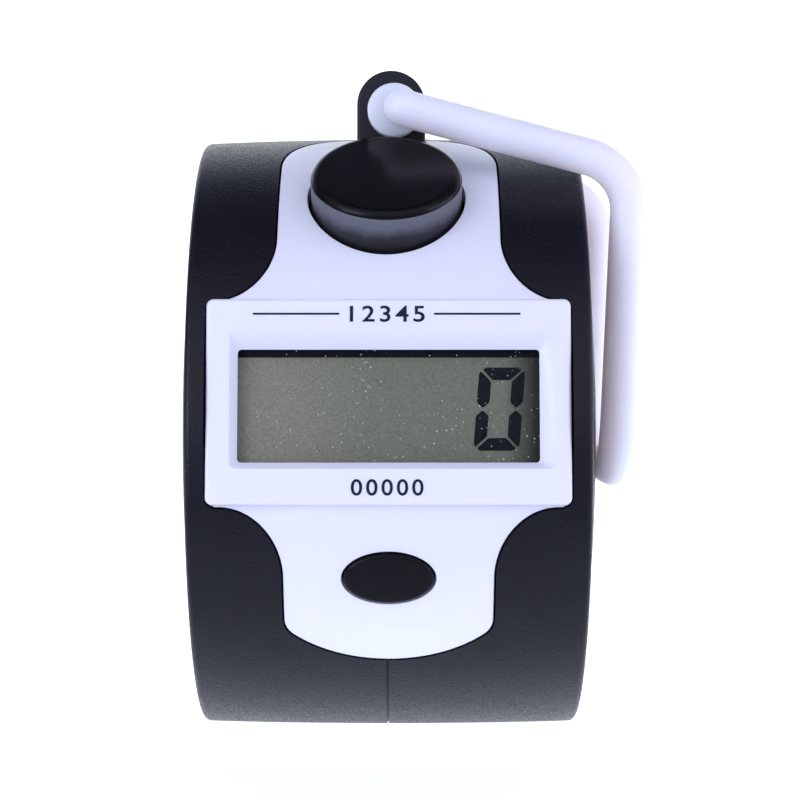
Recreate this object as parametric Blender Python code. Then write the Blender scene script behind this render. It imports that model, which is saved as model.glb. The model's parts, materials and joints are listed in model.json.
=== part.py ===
"""Hand tally counter: a drum-shaped case with a display, two push buttons and a hinged finger ring.

+X is the right side, -Y the front and +Z up. The origin is the middle of the foot, a flat on the drum's
underside. Around the drum, an angle of 0 faces the front and 90 degrees faces up.
"""
import math

import bmesh
import bpy
from mathutils import Matrix, Vector

MM = 0.001

# Drum-shaped case
DRUM_RADIUS = 25.1 * MM
CROWN = 0.38 * MM
BAND_HALF_WIDTH = 15.6 * MM
EDGE_ROUND = 0.5 * MM
CAVITY_RADIUS = 22.6 * MM
SIDE_INNER = 13.4 * MM
SIDE_OUTER = 15.0 * MM
SEAM_X = -0.12 * MM
SEAM_GAP = 0.1 * MM
FOOT_CUT = 0.8 * MM
AXIS_HEIGHT = DRUM_RADIUS - FOOT_CUT
DRUM_SEGMENTS = 60

# Raised covers that close the sides, almost flat inside a rounded shoulder
COVER_RADIUS = 22.3 * MM
COVER_DOME = 20.0 * MM
COVER_RIM = 15.4 * MM
COVER_RISE = 1.25 * MM
COVER_FLATNESS = 8
COVER_WALL = 1.0 * MM

# Clearances between pieces that touch in life
GAP = 0.3 * MM
FINE_GAP = 0.15 * MM

# White face plate: two curved necks and a flat display block between them
PLATE_THICKNESS = 1.3 * MM
BLOCK_ANGLE = 6.2
BLOCK_FACE = 24.6 * MM
BLOCK_BACK = 22.4 * MM
BLOCK_HALF_WIDTH = 13.9 * MM
BLOCK_HALF_HEIGHT = 7.87 * MM
BLOCK_CORNER = 0.5 * MM
NECK_ARC_WIDTH = 4.8 * MM
NECK_ARC_LENGTH = 5.8 * MM
UPPER_NECK = 8.7 * MM
UPPER_START = 24.6
UPPER_END_CENTRE = 60.0
UPPER_END_LENGTH = 9.1 * MM
LOWER_NECK = 8.1 * MM
LOWER_START = -12.6
LOWER_END = -44.7
LOWER_END_RADIUS = 11.3 * MM
LOWER_CORNER = 2.0 * MM

# Display
WINDOW_HALF_WIDTH = 11.52 * MM
WINDOW_HALF_HEIGHT = 4.33 * MM
WINDOW_DROP = 0.28 * MM
WINDOW_CORNER = 0.3 * MM
SLOPE_LEFT = 0.6 * MM
SLOPE_RIGHT = 1.1 * MM
SLOPE_TOP = 1.65 * MM
SLOPE_BOTTOM = 0.53 * MM
SLOPE_DEPTH = 0.75 * MM
LENS_FACE = 23.6 * MM
LENS_THICKNESS = 0.5 * MM
LENS_HALF_WIDTH = 12.3 * MM
LENS_HALF_HEIGHT = 5.6 * MM
LCD_FACE = 22.9 * MM
LCD_THICKNESS = 1.6 * MM
LCD_HALF_WIDTH = 12.3 * MM
LCD_HALF_HEIGHT = 5.9 * MM

# Buttons
COUNT_ANGLE = 52.7
COUNT_X = -0.2 * MM
COUNT_FORWARD = 1.79 * MM
COUNT_RADIUS = 5.98 * MM
COUNT_HOLE = 6.28 * MM
COUNT_TOP = 27.4 * MM
COUNT_EDGE = 0.75 * MM
COUNT_FLANGE_RADIUS = 7.0 * MM
COUNT_FLANGE_LOW = 19.7 * MM
COUNT_FLANGE_HIGH = 20.5 * MM
RESET_ANGLE = -25.9
RESET_HALF_WIDTH = 3.5 * MM
RESET_HALF_HEIGHT = 2.17 * MM
RESET_TOP = 25.4 * MM
RESET_FLANGE_LOW = 21.3 * MM
RESET_FLANGE_HIGH = 22.1 * MM
RESET_RIM = 1.05 * MM

# Boards and what carries them
BOARD_LOW = 13.2 * MM
BOARD_HIGH = 14.4 * MM
BOARD_HALF_WIDTH = 12.9 * MM
SWITCH_BOARD_LOW = 13.9 * MM
SWITCH_BOARD_HIGH = 14.9 * MM

# Hinge block and finger ring
LUG_X = 0.15 * MM
LUG_HALF_WIDTH = 2.78 * MM
LUG_HALF_LENGTH = 11.6 * MM
LUG_TOP = 29.6 * MM
PIVOT = (0.4 * MM, 26.15 * MM)
BORE_RADIUS = 1.5 * MM
BORE_DEPTH = 3.6 * MM
PIN_RADIUS = 1.25 * MM
FLANGE_RADIUS = 2.15 * MM
FLANGE_END = 13.8 * MM
ROD_RADIUS = 1.5 * MM
ARM_Y = 15.0 * MM
ARM_START = (1.05 * MM, 26.1 * MM)
SHOULDER = (19.32 * MM, 21.3 * MM)
LOWER_BEND = (18.2 * MM, -2.75 * MM)
BOW_X = 18.45 * MM

# Battery at the back
CELL_RADIUS = 5.8 * MM
CELL_LOW = 14.6 * MM
CELL_HIGH = 20.0 * MM
CELL_Z = -2.0 * MM
DOOR_HALF_WIDTH = 8.5 * MM
DOOR_HALF_LENGTH = 10.0 * MM
DOOR_THICKNESS = 1.4 * MM
DOOR_SCREW_Z = 6.2 * MM

# Case screws: angle around the drum, at one distance from its axis
CASE_SCREW_ANGLES = (-78, 125, -128)
CASE_SCREW_CIRCLE = 19.0 * MM


def clear_scene():
    for obj in list(bpy.data.objects):
        bpy.data.objects.remove(obj)


def material(name, colour, roughness, metallic=0.0, alpha=1.0):
    made = bpy.data.materials.new(name)
    made.use_nodes = True
    shader = made.node_tree.nodes["Principled BSDF"]
    shader.inputs["Base Color"].default_value = (*colour, 1.0)
    shader.inputs["Roughness"].default_value = roughness
    shader.inputs["Metallic"].default_value = metallic
    shader.inputs["Alpha"].default_value = alpha
    return made


# Frames: local x is +X, local z points out of the drum at the given angle and local y runs up along it.

def radial_frame(angle):
    turn = Matrix.Rotation(math.radians(90 - angle), 4, "X")
    return Matrix.Translation((0, 0, AXIS_HEIGHT)) @ turn


def sideways_frame(y=0.0, z=0.0):
    """Local z is +X, through the given point beside the drum's axis."""
    turn = Matrix.Rotation(math.radians(90), 4, "Y")
    return Matrix.Translation((0, y, AXIS_HEIGHT + z)) @ turn


def level_frame(x=0.0, y=0.0, z=0.0):
    return Matrix.Translation((x, y, AXIS_HEIGHT + z))


def lengthwise_frame(x, z):
    """Local z is -Y, for pieces that lie along the hinge line; local x is +X and local y is up."""
    turn = Matrix.Rotation(math.radians(90), 4, "X")
    return Matrix.Translation((x, 0, AXIS_HEIGHT + z)) @ turn


DISPLAY_FRAME = radial_frame(BLOCK_ANGLE)
COUNT_FRAME = radial_frame(COUNT_ANGLE) @ Matrix.Translation((COUNT_X, -COUNT_FORWARD, 0))
RESET_FRAME = radial_frame(RESET_ANGLE)
BACK_FRAME = radial_frame(180)


# Outlines

def spaced(start, end, count):
    return [start + (end - start) * i / count for i in range(count + 1)]


def arc(centre, radius_x, radius_y, start, end, count):
    """Points along an elliptical arc, angles in degrees."""
    points = []
    for angle in spaced(math.radians(start), math.radians(end), count):
        points.append((centre[0] + radius_x * math.cos(angle), centre[1] + radius_y * math.sin(angle)))
    return points


def ellipse(radius_x, radius_y, count=28):
    return arc((0, 0), radius_x, radius_y, 0, 360, count)[:-1]


def rectangle(low, high, corner=0.0, steps=3):
    """A rectangle, anticlockwise, with its corners rounded when a radius is given."""
    if corner == 0:
        return [(low[0], low[1]), (high[0], low[1]), (high[0], high[1]), (low[0], high[1])]
    points = []
    centres = (
        (high[0] - corner, high[1] - corner, 0),
        (low[0] + corner, high[1] - corner, 90),
        (low[0] + corner, low[1] + corner, 180),
        (high[0] - corner, low[1] + corner, 270),
    )
    for x, y, start in centres:
        points += arc((x, y), corner, corner, start, start + 90, steps)
    return points


def grown(outline, distance):
    """The anticlockwise outline moved outward by one distance all round."""
    points = []
    count = len(outline)
    for i in range(count):
        before = Vector(outline[i]) - Vector(outline[i - 1])
        after = Vector(outline[(i + 1) % count]) - Vector(outline[i])
        normal_before = Vector((before.y, -before.x)).normalized()
        normal_after = Vector((after.y, -after.x)).normalized()
        middle = (normal_before + normal_after).normalized()
        reach = distance / max(middle.dot(normal_after), 0.5)
        points.append(tuple(Vector(outline[i]) + middle * reach))
    return points


def mirrored_outline(right_half):
    """Closes a right half, listed upward, with its mirror image."""
    return right_half + [(-x, y) for x, y in reversed(right_half) if x > 1e-7]


def along(angle):
    """Distance along the drum's surface for an angle in degrees."""
    return DRUM_RADIUS * math.radians(angle)


def upper_neck_outline():
    """Right half of the curved plate above the display, from inside the block to its round end."""
    start = along(UPPER_START)
    end_centre = along(UPPER_END_CENTRE)
    block_edge = BLOCK_HALF_WIDTH - 0.2 * MM
    right = [(block_edge, along(19.8)), (block_edge, start)]
    corner = (UPPER_NECK + NECK_ARC_WIDTH, start + NECK_ARC_LENGTH)
    right += reversed(arc(corner, NECK_ARC_WIDTH, NECK_ARC_LENGTH, 180, 270, 7))
    right += arc((0, end_centre), UPPER_NECK, UPPER_END_LENGTH, 0, 90, 12)
    return mirrored_outline(right)


def lower_neck_outline():
    """The curved plate below the display, with a flatter arc at its end."""
    start = along(LOWER_START)
    end_centre = along(LOWER_END) + LOWER_END_RADIUS
    corner_x = LOWER_NECK - LOWER_CORNER
    reach = LOWER_END_RADIUS - LOWER_CORNER
    corner_y = end_centre - math.sqrt(reach ** 2 - corner_x ** 2)
    turn = math.degrees(math.atan2(corner_y - end_centre, corner_x))
    block_edge = BLOCK_HALF_WIDTH - 0.2 * MM
    right = arc((0, end_centre), LOWER_END_RADIUS, LOWER_END_RADIUS, -90, turn, 6)
    right += arc((corner_x, corner_y), LOWER_CORNER, LOWER_CORNER, turn, 0, 4)[1:]
    corner = (LOWER_NECK + NECK_ARC_WIDTH, start - NECK_ARC_LENGTH)
    right += reversed(arc(corner, NECK_ARC_WIDTH, NECK_ARC_LENGTH, 90, 180, 7))
    right += [(block_edge, start), (block_edge, along(-8.2))]
    return mirrored_outline(right)


# Solids

def solid(name, mesh_data, frame, paint=None):
    bmesh.ops.recalc_face_normals(mesh_data, faces=mesh_data.faces)
    if mesh_data.calc_volume(signed=True) < 0:
        bmesh.ops.reverse_faces(mesh_data, faces=mesh_data.faces)
    mesh = bpy.data.meshes.new(name)
    mesh_data.to_mesh(mesh)
    mesh_data.free()
    obj = bpy.data.objects.new(name, mesh)
    bpy.context.scene.collection.objects.link(obj)
    obj.matrix_world = frame
    if paint:
        mesh.materials.append(paint)
        mesh.shade_smooth()
        mesh.set_sharp_from_angle(angle=math.radians(35))
    return obj


def extruded(name, outline, low, high, frame, paint=None):
    data = bmesh.new()
    bottom = [data.verts.new((x, y, low)) for x, y in outline]
    top = [data.verts.new((x, y, high)) for x, y in outline]
    data.faces.new(bottom)
    data.faces.new(top)
    for i in range(len(outline)):
        data.faces.new((bottom[i - 1], bottom[i], top[i], top[i - 1]))
    return solid(name, data, frame, paint)


def box(name, low, high, frame, paint=None):
    return extruded(name, rectangle(low, high), low[2], high[2], frame, paint)


def cylinder(name, radius, low, high, frame, paint=None, sides=24):
    return extruded(name, ellipse(radius, radius, sides), low, high, frame, paint)


def revolved(name, profile, frame, paint=None, segments=32, ring=False):
    """Turns a profile of (radius, height) about local z. A ring's profile closes on itself."""
    data = bmesh.new()
    rows = []
    for radius, height in profile:
        if radius < 1e-9:
            rows.append([data.verts.new((0, 0, height))])
            continue
        points = ellipse(radius, radius, segments)
        rows.append([data.verts.new((x, y, height)) for x, y in points])
    pairs = list(zip(rows, rows[1:]))
    if ring:
        pairs.append((rows[-1], rows[0]))
    for first, second in pairs:
        if len(first) == 1 and len(second) == 1:
            continue
        for i in range(segments):
            corners = [first[i % len(first)], first[(i + 1) % len(first)]]
            corners += [second[(i + 1) % len(second)], second[i % len(second)]]
            data.faces.new(list(dict.fromkeys(corners)))
    return solid(name, data, frame, paint)


def crown_drop(x):
    return CROWN * (x / BAND_HALF_WIDTH) ** 2


def wrapped(name, outline, inner, outer, paint=None):
    """Bends an outline of (x, distance along the surface) round the drum between two radii."""
    data = bmesh.new()
    bottom = [data.verts.new((x, s, inner)) for x, s in outline]
    top = [data.verts.new((x, s, outer)) for x, s in outline]
    data.faces.new(bottom)
    data.faces.new(top)
    for i in range(len(outline)):
        data.faces.new((bottom[i - 1], bottom[i], top[i], top[i - 1]))
    lows = min(s for x, s in outline)
    highs = max(s for x, s in outline)
    pitch = along(360 / DRUM_SEGMENTS)
    cuts = [k * pitch for k in range(math.ceil(lows / pitch), math.floor(highs / pitch) + 1)]
    for s in cuts:
        parts = data.verts[:] + data.edges[:] + data.faces[:]
        bmesh.ops.bisect_plane(data, geom=parts, dist=1e-7, plane_co=(0, s, 0), plane_no=(0, 1, 0))
    for x in (-6 * MM, 0, 6 * MM):
        parts = data.verts[:] + data.edges[:] + data.faces[:]
        bmesh.ops.bisect_plane(data, geom=parts, dist=1e-7, plane_co=(x, 0, 0), plane_no=(1, 0, 0))
    bmesh.ops.triangulate(data, faces=data.faces)
    for vert in data.verts:
        x, s, height = vert.co
        radius = height - crown_drop(x)
        angle = s / DRUM_RADIUS
        vert.co = (x, -radius * math.cos(angle), radius * math.sin(angle))
    return solid(name, data, level_frame(), paint)


def tube(name, points, radius, frame, paint, sides=8, rounded=False):
    """A rod of one radius along a list of points, with flat or round ends."""
    path = [Vector(p) for p in points]
    tangents = []
    for i in range(len(path)):
        ahead = path[min(i + 1, len(path) - 1)]
        behind = path[max(i - 1, 0)]
        tangents.append((ahead - behind).normalized())
    side = tangents[0].orthogonal().normalized()
    stations = []
    for point, tangent in zip(path, tangents):
        side = (side - tangent * side.dot(tangent)).normalized()
        stations.append((point, side.copy(), tangent.cross(side), radius))
    if rounded:
        cap_angles = [math.radians(a) for a in (60, 30)]
        first = stations[0]
        last = stations[-1]
        start_caps = [
            (first[0] - tangents[0] * radius * math.sin(a), first[1], first[2], radius * math.cos(a))
            for a in cap_angles
        ]
        end_caps = [
            (last[0] + tangents[-1] * radius * math.sin(a), last[1], last[2], radius * math.cos(a))
            for a in reversed(cap_angles)
        ]
        stations = start_caps + stations + end_caps
    data = bmesh.new()
    rings = []
    for centre, across, up, size in stations:
        ring = []
        for k in range(sides):
            angle = 2 * math.pi * k / sides
            offset = across * math.cos(angle) + up * math.sin(angle)
            ring.append(data.verts.new(centre + offset * size))
        rings.append(ring)
    for ring, following in zip(rings, rings[1:]):
        for k in range(sides):
            data.faces.new((ring[k - 1], ring[k], following[k], following[k - 1]))
    data.faces.new(rings[0])
    data.faces.new(rings[-1])
    return solid(name, data, frame, paint)


def filleted_path(corners, steps=6):
    """Straight runs between corners of (point, bend radius), joined by arcs."""
    path = [Vector(corners[0][0])]
    for i in range(1, len(corners) - 1):
        corner = Vector(corners[i][0])
        radius = corners[i][1]
        back = (Vector(corners[i - 1][0]) - corner).normalized()
        ahead = (Vector(corners[i + 1][0]) - corner).normalized()
        half = back.angle(ahead) / 2
        centre = corner + (back + ahead).normalized() * radius / math.sin(half)
        start = corner + back * radius / math.tan(half) - centre
        end = corner + ahead * radius / math.tan(half) - centre
        for k in range(steps + 1):
            path.append(centre + start.slerp(end, k / steps).normalized() * radius)
    path.append(Vector(corners[-1][0]))
    return path


def smooth_route(points, steps=5):
    """A Catmull-Rom curve through the points."""
    route = [Vector(p) for p in points]
    padded = [route[0] * 2 - route[1]] + route + [route[-1] * 2 - route[-2]]
    path = []
    for i in range(1, len(padded) - 2):
        a, b, c, d = padded[i - 1:i + 3]
        for k in range(steps):
            t = k / steps
            path.append(0.5 * (2 * b + (c - a) * t + (2 * a - 5 * b + 4 * c - d) * t ** 2
                               + (3 * b - a - 3 * c + d) * t ** 3))
    path.append(route[-1])
    return path


def combine(obj, operation, others):
    for other in others:
        modifier = obj.modifiers.new(other.name, "BOOLEAN")
        modifier.operation = operation
        modifier.solver = "EXACT"
        modifier.object = other
        other.hide_render = True
        other.display_type = "WIRE"


def carve(obj, *cutters):
    combine(obj, "DIFFERENCE", cutters)


def unite(obj, *additions):
    combine(obj, "UNION", additions)


# Case

def shell_profile(seam):
    """Half of the case as (radius, distance from the middle): band, round edge, side wall and cavity."""
    straight = BAND_HALF_WIDTH - EDGE_ROUND
    profile = [(DRUM_RADIUS - crown_drop(x), x) for x in spaced(seam, straight, 4)]
    edge_radius = DRUM_RADIUS - CROWN - EDGE_ROUND
    profile += arc((edge_radius, straight), EDGE_ROUND, EDGE_ROUND, 0, 90, 3)
    profile += [
        (COVER_RADIUS + GAP, BAND_HALF_WIDTH),
        (COVER_RADIUS + GAP, SIDE_OUTER),
        (0, SIDE_OUTER),
        (0, SIDE_INNER),
        (CAVITY_RADIUS, SIDE_INNER),
        (CAVITY_RADIUS, seam),
    ]
    return profile


def case_screw_places():
    places = []
    for angle in CASE_SCREW_ANGLES:
        turn = math.radians(angle)
        places.append((-CASE_SCREW_CIRCLE * math.cos(turn), CASE_SCREW_CIRCLE * math.sin(turn)))
    return places


def case_openings():
    """Cutters shared by both halves of the case."""
    drum_out = DRUM_RADIUS + 4 * MM
    pocket_floor = DRUM_RADIUS - PLATE_THICKNESS - GAP
    upper = grown(upper_neck_outline(), FINE_GAP)
    lower = grown(lower_neck_outline(), FINE_GAP)
    half_width = BLOCK_HALF_WIDTH + FINE_GAP
    half_height = BLOCK_HALF_HEIGHT + FINE_GAP
    door = rectangle((-DOOR_HALF_WIDTH, -DOOR_HALF_LENGTH), (DOOR_HALF_WIDTH, DOOR_HALF_LENGTH), 1.5 * MM)
    back = along(180)
    door_hole = [(x, s + back) for x, s in grown(door, FINE_GAP)]
    reset = ellipse(RESET_HALF_WIDTH + 0.35 * MM, RESET_HALF_HEIGHT + 0.35 * MM)
    return [
        cylinder("cut_count", COUNT_HOLE + 0.2 * MM, 18 * MM, 30 * MM, COUNT_FRAME, sides=48),
        extruded("cut_reset", reset, 18 * MM, 30 * MM, RESET_FRAME),
        wrapped("cut_upper_plate", upper, pocket_floor, drum_out),
        wrapped("cut_lower_plate", lower, pocket_floor, drum_out),
        box("cut_block", (-half_width, -half_height, BLOCK_BACK - GAP), (half_width, half_height, 30 * MM),
            DISPLAY_FRAME),
        box("cut_display", (-12.8 * MM, -6.5 * MM, 18 * MM), (12.8 * MM, 6.5 * MM, 23 * MM), DISPLAY_FRAME),
        wrapped("cut_door", door_hole, 20 * MM, drum_out),
        lug_room("cut_lug"),
        box("cut_foot", (-20 * MM, -15 * MM, -10 * MM), (20 * MM, 15 * MM, 0), Matrix.Identity(4)),
    ]


def lug_room(name):
    reach_x = LUG_HALF_WIDTH + FINE_GAP
    reach_y = LUG_HALF_LENGTH + FINE_GAP
    return box(name, (LUG_X - reach_x, -reach_y, 17 * MM), (LUG_X + reach_x, reach_y, 28 * MM), level_frame())


def make_shells(paint):
    openings = case_openings()
    left = revolved("left_shell", [(r, -x) for r, x in shell_profile(-SEAM_X + SEAM_GAP / 2)],
                    sideways_frame(), paint, DRUM_SEGMENTS, ring=True)
    right = revolved("right_shell", shell_profile(SEAM_X + SEAM_GAP / 2),
                     sideways_frame(), paint, DRUM_SEGMENTS, ring=True)
    for number, (y, z) in enumerate(case_screw_places(), 1):
        frame = sideways_frame(y, z)
        unite(right, cylinder(f"boss_right_{number}", 2.6 * MM, 0.3 * MM, 14 * MM, frame, sides=16))
        unite(left, cylinder(f"boss_left_{number}", 2.6 * MM, -14 * MM, -0.3 * MM, frame, sides=16))
        carve(right,
              cylinder(f"way_{number}", 1.2 * MM, -1 * MM, 16 * MM, frame, sides=12),
              cylinder(f"head_room_{number}", 2.1 * MM, 12.6 * MM, 16 * MM, frame, sides=16))
        carve(left, cylinder(f"thread_{number}", 1.1 * MM, -9 * MM, 1 * MM, frame, sides=12))
    carve(left, *openings)
    carve(right, *openings)


def cover_profile():
    outer = []
    inner = []
    back = SIDE_OUTER + GAP - FINE_GAP
    for fraction in (0, 0.5, 0.7, 0.8, 0.88, 0.94, 1):
        height = COVER_RIM + COVER_RISE * (1 - fraction ** COVER_FLATNESS)
        outer.append((COVER_DOME * fraction, height))
        if height - COVER_WALL > back + 0.1 * MM:
            inner.append((COVER_DOME * fraction, height - COVER_WALL))
    hollow_edge = inner[-1][0] + 1.0 * MM
    return outer + [(COVER_RADIUS, COVER_RIM), (COVER_RADIUS, back), (hollow_edge, back)] + inner[::-1]


def make_side_cover(name, side, paint):
    revolved(name, [(r, side * x) for r, x in cover_profile()], sideways_frame(), paint, 48)


def make_lug(paint):
    straight_top = LUG_TOP - LUG_HALF_WIDTH
    profile = [(-LUG_HALF_WIDTH, 20.6 * MM), (LUG_HALF_WIDTH, 20.6 * MM)]
    profile += arc((0, straight_top), LUG_HALF_WIDTH, LUG_HALF_WIDTH, 0, 180, 14)
    lug = extruded("ring_lug", profile, -LUG_HALF_LENGTH, LUG_HALF_LENGTH, lengthwise_frame(LUG_X, 0), paint)
    unite(lug, box("lug_base", (-4.4 * MM, -4.8 * MM, 20.7 * MM), (4.4 * MM, 4.8 * MM, 21.9 * MM), level_frame()))
    bore_frame = lengthwise_frame(*PIVOT)
    bore_end = LUG_HALF_LENGTH - BORE_DEPTH
    carve(lug,
          cylinder("front_bore", BORE_RADIUS, bore_end, 14 * MM, bore_frame, sides=32),
          cylinder("back_bore", BORE_RADIUS, -14 * MM, -bore_end, bore_frame, sides=32),
          cylinder("button_room", COUNT_HOLE + GAP, 18 * MM, 30 * MM, COUNT_FRAME, sides=48))


def make_finger_ring(paint):
    """The rod in a frame whose origin is on the hinge line."""
    start_x, start_z = (place - origin for place, origin in zip(ARM_START, PIVOT))
    shoulder_x, shoulder_z = (place - origin for place, origin in zip(SHOULDER, PIVOT))
    bend_x, bend_z = (place - origin for place, origin in zip(LOWER_BEND, PIVOT))
    corners = [
        ((start_x, -ARM_Y, start_z), 0),
        ((shoulder_x, -ARM_Y, shoulder_z), 4.4 * MM),
        ((bend_x, -ARM_Y, bend_z), 4.5 * MM),
        ((BOW_X - PIVOT[0], 0, bend_z), 60 * MM),
        ((bend_x, ARM_Y, bend_z), 4.5 * MM),
        ((shoulder_x, ARM_Y, shoulder_z), 4.4 * MM),
        ((start_x, ARM_Y, start_z), 0),
    ]
    frame = level_frame(PIVOT[0], 0, PIVOT[1])
    ring = tube("finger_ring", filleted_path(corners), ROD_RADIUS, frame, paint, sides=12, rounded=True)
    pin_frame = lengthwise_frame(*PIVOT)
    for name, side in (("front", 1), ("back", -1)):
        pin_end = LUG_HALF_LENGTH - BORE_DEPTH + 0.4 * MM
        low, high = sorted((side * pin_end, side * (FLANGE_END - GAP)))
        unite(ring, cylinder(f"{name}_pin", PIN_RADIUS, low, high, pin_frame, sides=16))
        low, high = sorted((side * (LUG_HALF_LENGTH + GAP), side * FLANGE_END))
        unite(ring, cylinder(f"{name}_flange", FLANGE_RADIUS, low, high, pin_frame, sides=20))


# Face plate and display

def make_face_plate(paint):
    inner = DRUM_RADIUS - PLATE_THICKNESS
    block = rectangle((-BLOCK_HALF_WIDTH, -BLOCK_HALF_HEIGHT), (BLOCK_HALF_WIDTH, BLOCK_HALF_HEIGHT), BLOCK_CORNER)
    plate = extruded("face_plate", block, BLOCK_BACK, BLOCK_FACE, DISPLAY_FRAME, paint)
    unite(plate,
          wrapped("upper_neck", upper_neck_outline(), inner, DRUM_RADIUS),
          wrapped("lower_neck", lower_neck_outline(), inner, DRUM_RADIUS))
    middle = -WINDOW_DROP
    low = (-WINDOW_HALF_WIDTH, middle - WINDOW_HALF_HEIGHT)
    high = (WINDOW_HALF_WIDTH, middle + WINDOW_HALF_HEIGHT)
    window = rectangle(low, high, WINDOW_CORNER)
    lens_room = rectangle((-LENS_HALF_WIDTH - GAP, -6.2 * MM), (LENS_HALF_WIDTH + GAP, 6.2 * MM))
    reset = ellipse(RESET_HALF_WIDTH + 0.17 * MM, RESET_HALF_HEIGHT + 0.17 * MM)
    carve(plate,
          extruded("window", window, 20 * MM, 30 * MM, DISPLAY_FRAME),
          window_slope(low, high),
          extruded("lens_room", lens_room, 20 * MM, LENS_FACE + GAP / 2, DISPLAY_FRAME),
          cylinder("count_hole", COUNT_HOLE, 18 * MM, 30 * MM, COUNT_FRAME, sides=48),
          extruded("reset_hole", reset, 18 * MM, 30 * MM, RESET_FRAME),
          lug_room("lug_notch"))


def window_slope(low, high):
    """The four-sided funnel round the window, wider at the top than at the bottom."""
    data = bmesh.new()
    wide_low = (low[0] - SLOPE_LEFT, low[1] - SLOPE_BOTTOM)
    wide_high = (high[0] + SLOPE_RIGHT, high[1] + SLOPE_TOP)
    deep = rectangle(low, high)
    wide = rectangle(wide_low, wide_high)
    levels = ((deep, BLOCK_FACE - SLOPE_DEPTH), (wide, BLOCK_FACE), (wide, BLOCK_FACE + 2 * MM))
    rings = [[data.verts.new((x, y, height)) for x, y in outline] for outline, height in levels]
    data.faces.new(rings[0])
    data.faces.new(rings[-1])
    for ring, following in zip(rings, rings[1:]):
        for i in range(4):
            data.faces.new((ring[i - 1], ring[i], following[i], following[i - 1]))
    return solid("window_slope", data, DISPLAY_FRAME)


def make_display(clear, glass, film, dark_plastic, elastomer):
    lens_low = (-LENS_HALF_WIDTH, -LENS_HALF_HEIGHT, LENS_FACE - LENS_THICKNESS)
    lens_high = (LENS_HALF_WIDTH, LENS_HALF_HEIGHT, LENS_FACE)
    box("display_lens", lens_low, lens_high, DISPLAY_FRAME, clear)
    lcd_low = (-LCD_HALF_WIDTH, -LCD_HALF_HEIGHT, LCD_FACE - LCD_THICKNESS)
    lcd_high = (LCD_HALF_WIDTH, LCD_HALF_HEIGHT, LCD_FACE)
    box("lcd_panel", lcd_low, lcd_high, DISPLAY_FRAME, glass)
    film_top = LCD_FACE - LCD_THICKNESS - FINE_GAP
    box("lcd_reflector", (-11.4 * MM, -3.6 * MM, film_top - GAP), (11.4 * MM, 4.4 * MM, film_top),
        DISPLAY_FRAME, film)
    foot = BOARD_HIGH + GAP
    box("zebra_strip", (-11.3 * MM, -5.5 * MM, foot), (11.3 * MM, -4.1 * MM, film_top), DISPLAY_FRAME, elastomer)
    holder_top = film_top - 2 * GAP
    holder = box("lcd_frame", (-12.3 * MM, -6.3 * MM, foot), (12.3 * MM, 5.0 * MM, holder_top),
                 DISPLAY_FRAME, dark_plastic)
    carve(holder, box("frame_room", (-11.6 * MM, -5.8 * MM, 10 * MM), (11.6 * MM, 4.2 * MM, 25 * MM), DISPLAY_FRAME))


# Buttons

def make_count_button(gloss, steel, rubber, carbon):
    hollow = COUNT_TOP - 2.2 * MM
    profile = [
        (0, 18.6 * MM), (1.9 * MM, 18.6 * MM), (1.9 * MM, hollow), (4.0 * MM, hollow),
        (4.0 * MM, COUNT_FLANGE_LOW), (COUNT_FLANGE_RADIUS, COUNT_FLANGE_LOW),
        (COUNT_FLANGE_RADIUS, COUNT_FLANGE_HIGH), (COUNT_RADIUS, COUNT_FLANGE_HIGH),
    ]
    profile += arc((COUNT_RADIUS - COUNT_EDGE, COUNT_TOP - COUNT_EDGE), COUNT_EDGE, COUNT_EDGE, 0, 90, 3)
    profile.append((0, COUNT_TOP))
    revolved("count_button", profile, COUNT_FRAME, gloss, 40)
    seat = SWITCH_BOARD_HIGH + GAP
    make_spring(seat, COUNT_FLANGE_LOW - GAP, steel)
    dome = [
        (3.4 * MM, seat), (3.4 * MM, seat + 0.5 * MM), (2.7 * MM, seat + 0.6 * MM), (1.9 * MM, 17.9 * MM),
        (1.6 * MM, 18.3 * MM), (0, 18.3 * MM), (0, 17.7 * MM), (1.5 * MM, 17.7 * MM),
        (2.3 * MM, seat + 0.3 * MM), (2.3 * MM, seat),
    ]
    revolved("count_dome", dome, COUNT_FRAME, rubber, 16, ring=True)
    cylinder("count_pill", 1.1 * MM, 16.9 * MM, 17.45 * MM, COUNT_FRAME, carbon, 20)


def make_spring(low, high, steel):
    """A compression spring round the button's stem, in four turns."""
    wire = 0.25 * MM
    coil_radius = 4.6 * MM
    turns = 4
    per_turn = 12
    points = []
    for i in range(turns * per_turn + 1):
        turn = 2 * math.pi * i / per_turn
        height = low + wire + (high - low - 2 * wire) * i / (turns * per_turn)
        points.append((coil_radius * math.cos(turn), coil_radius * math.sin(turn), height))
    tube("count_spring", points, wire, COUNT_FRAME, steel, sides=5)


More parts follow.
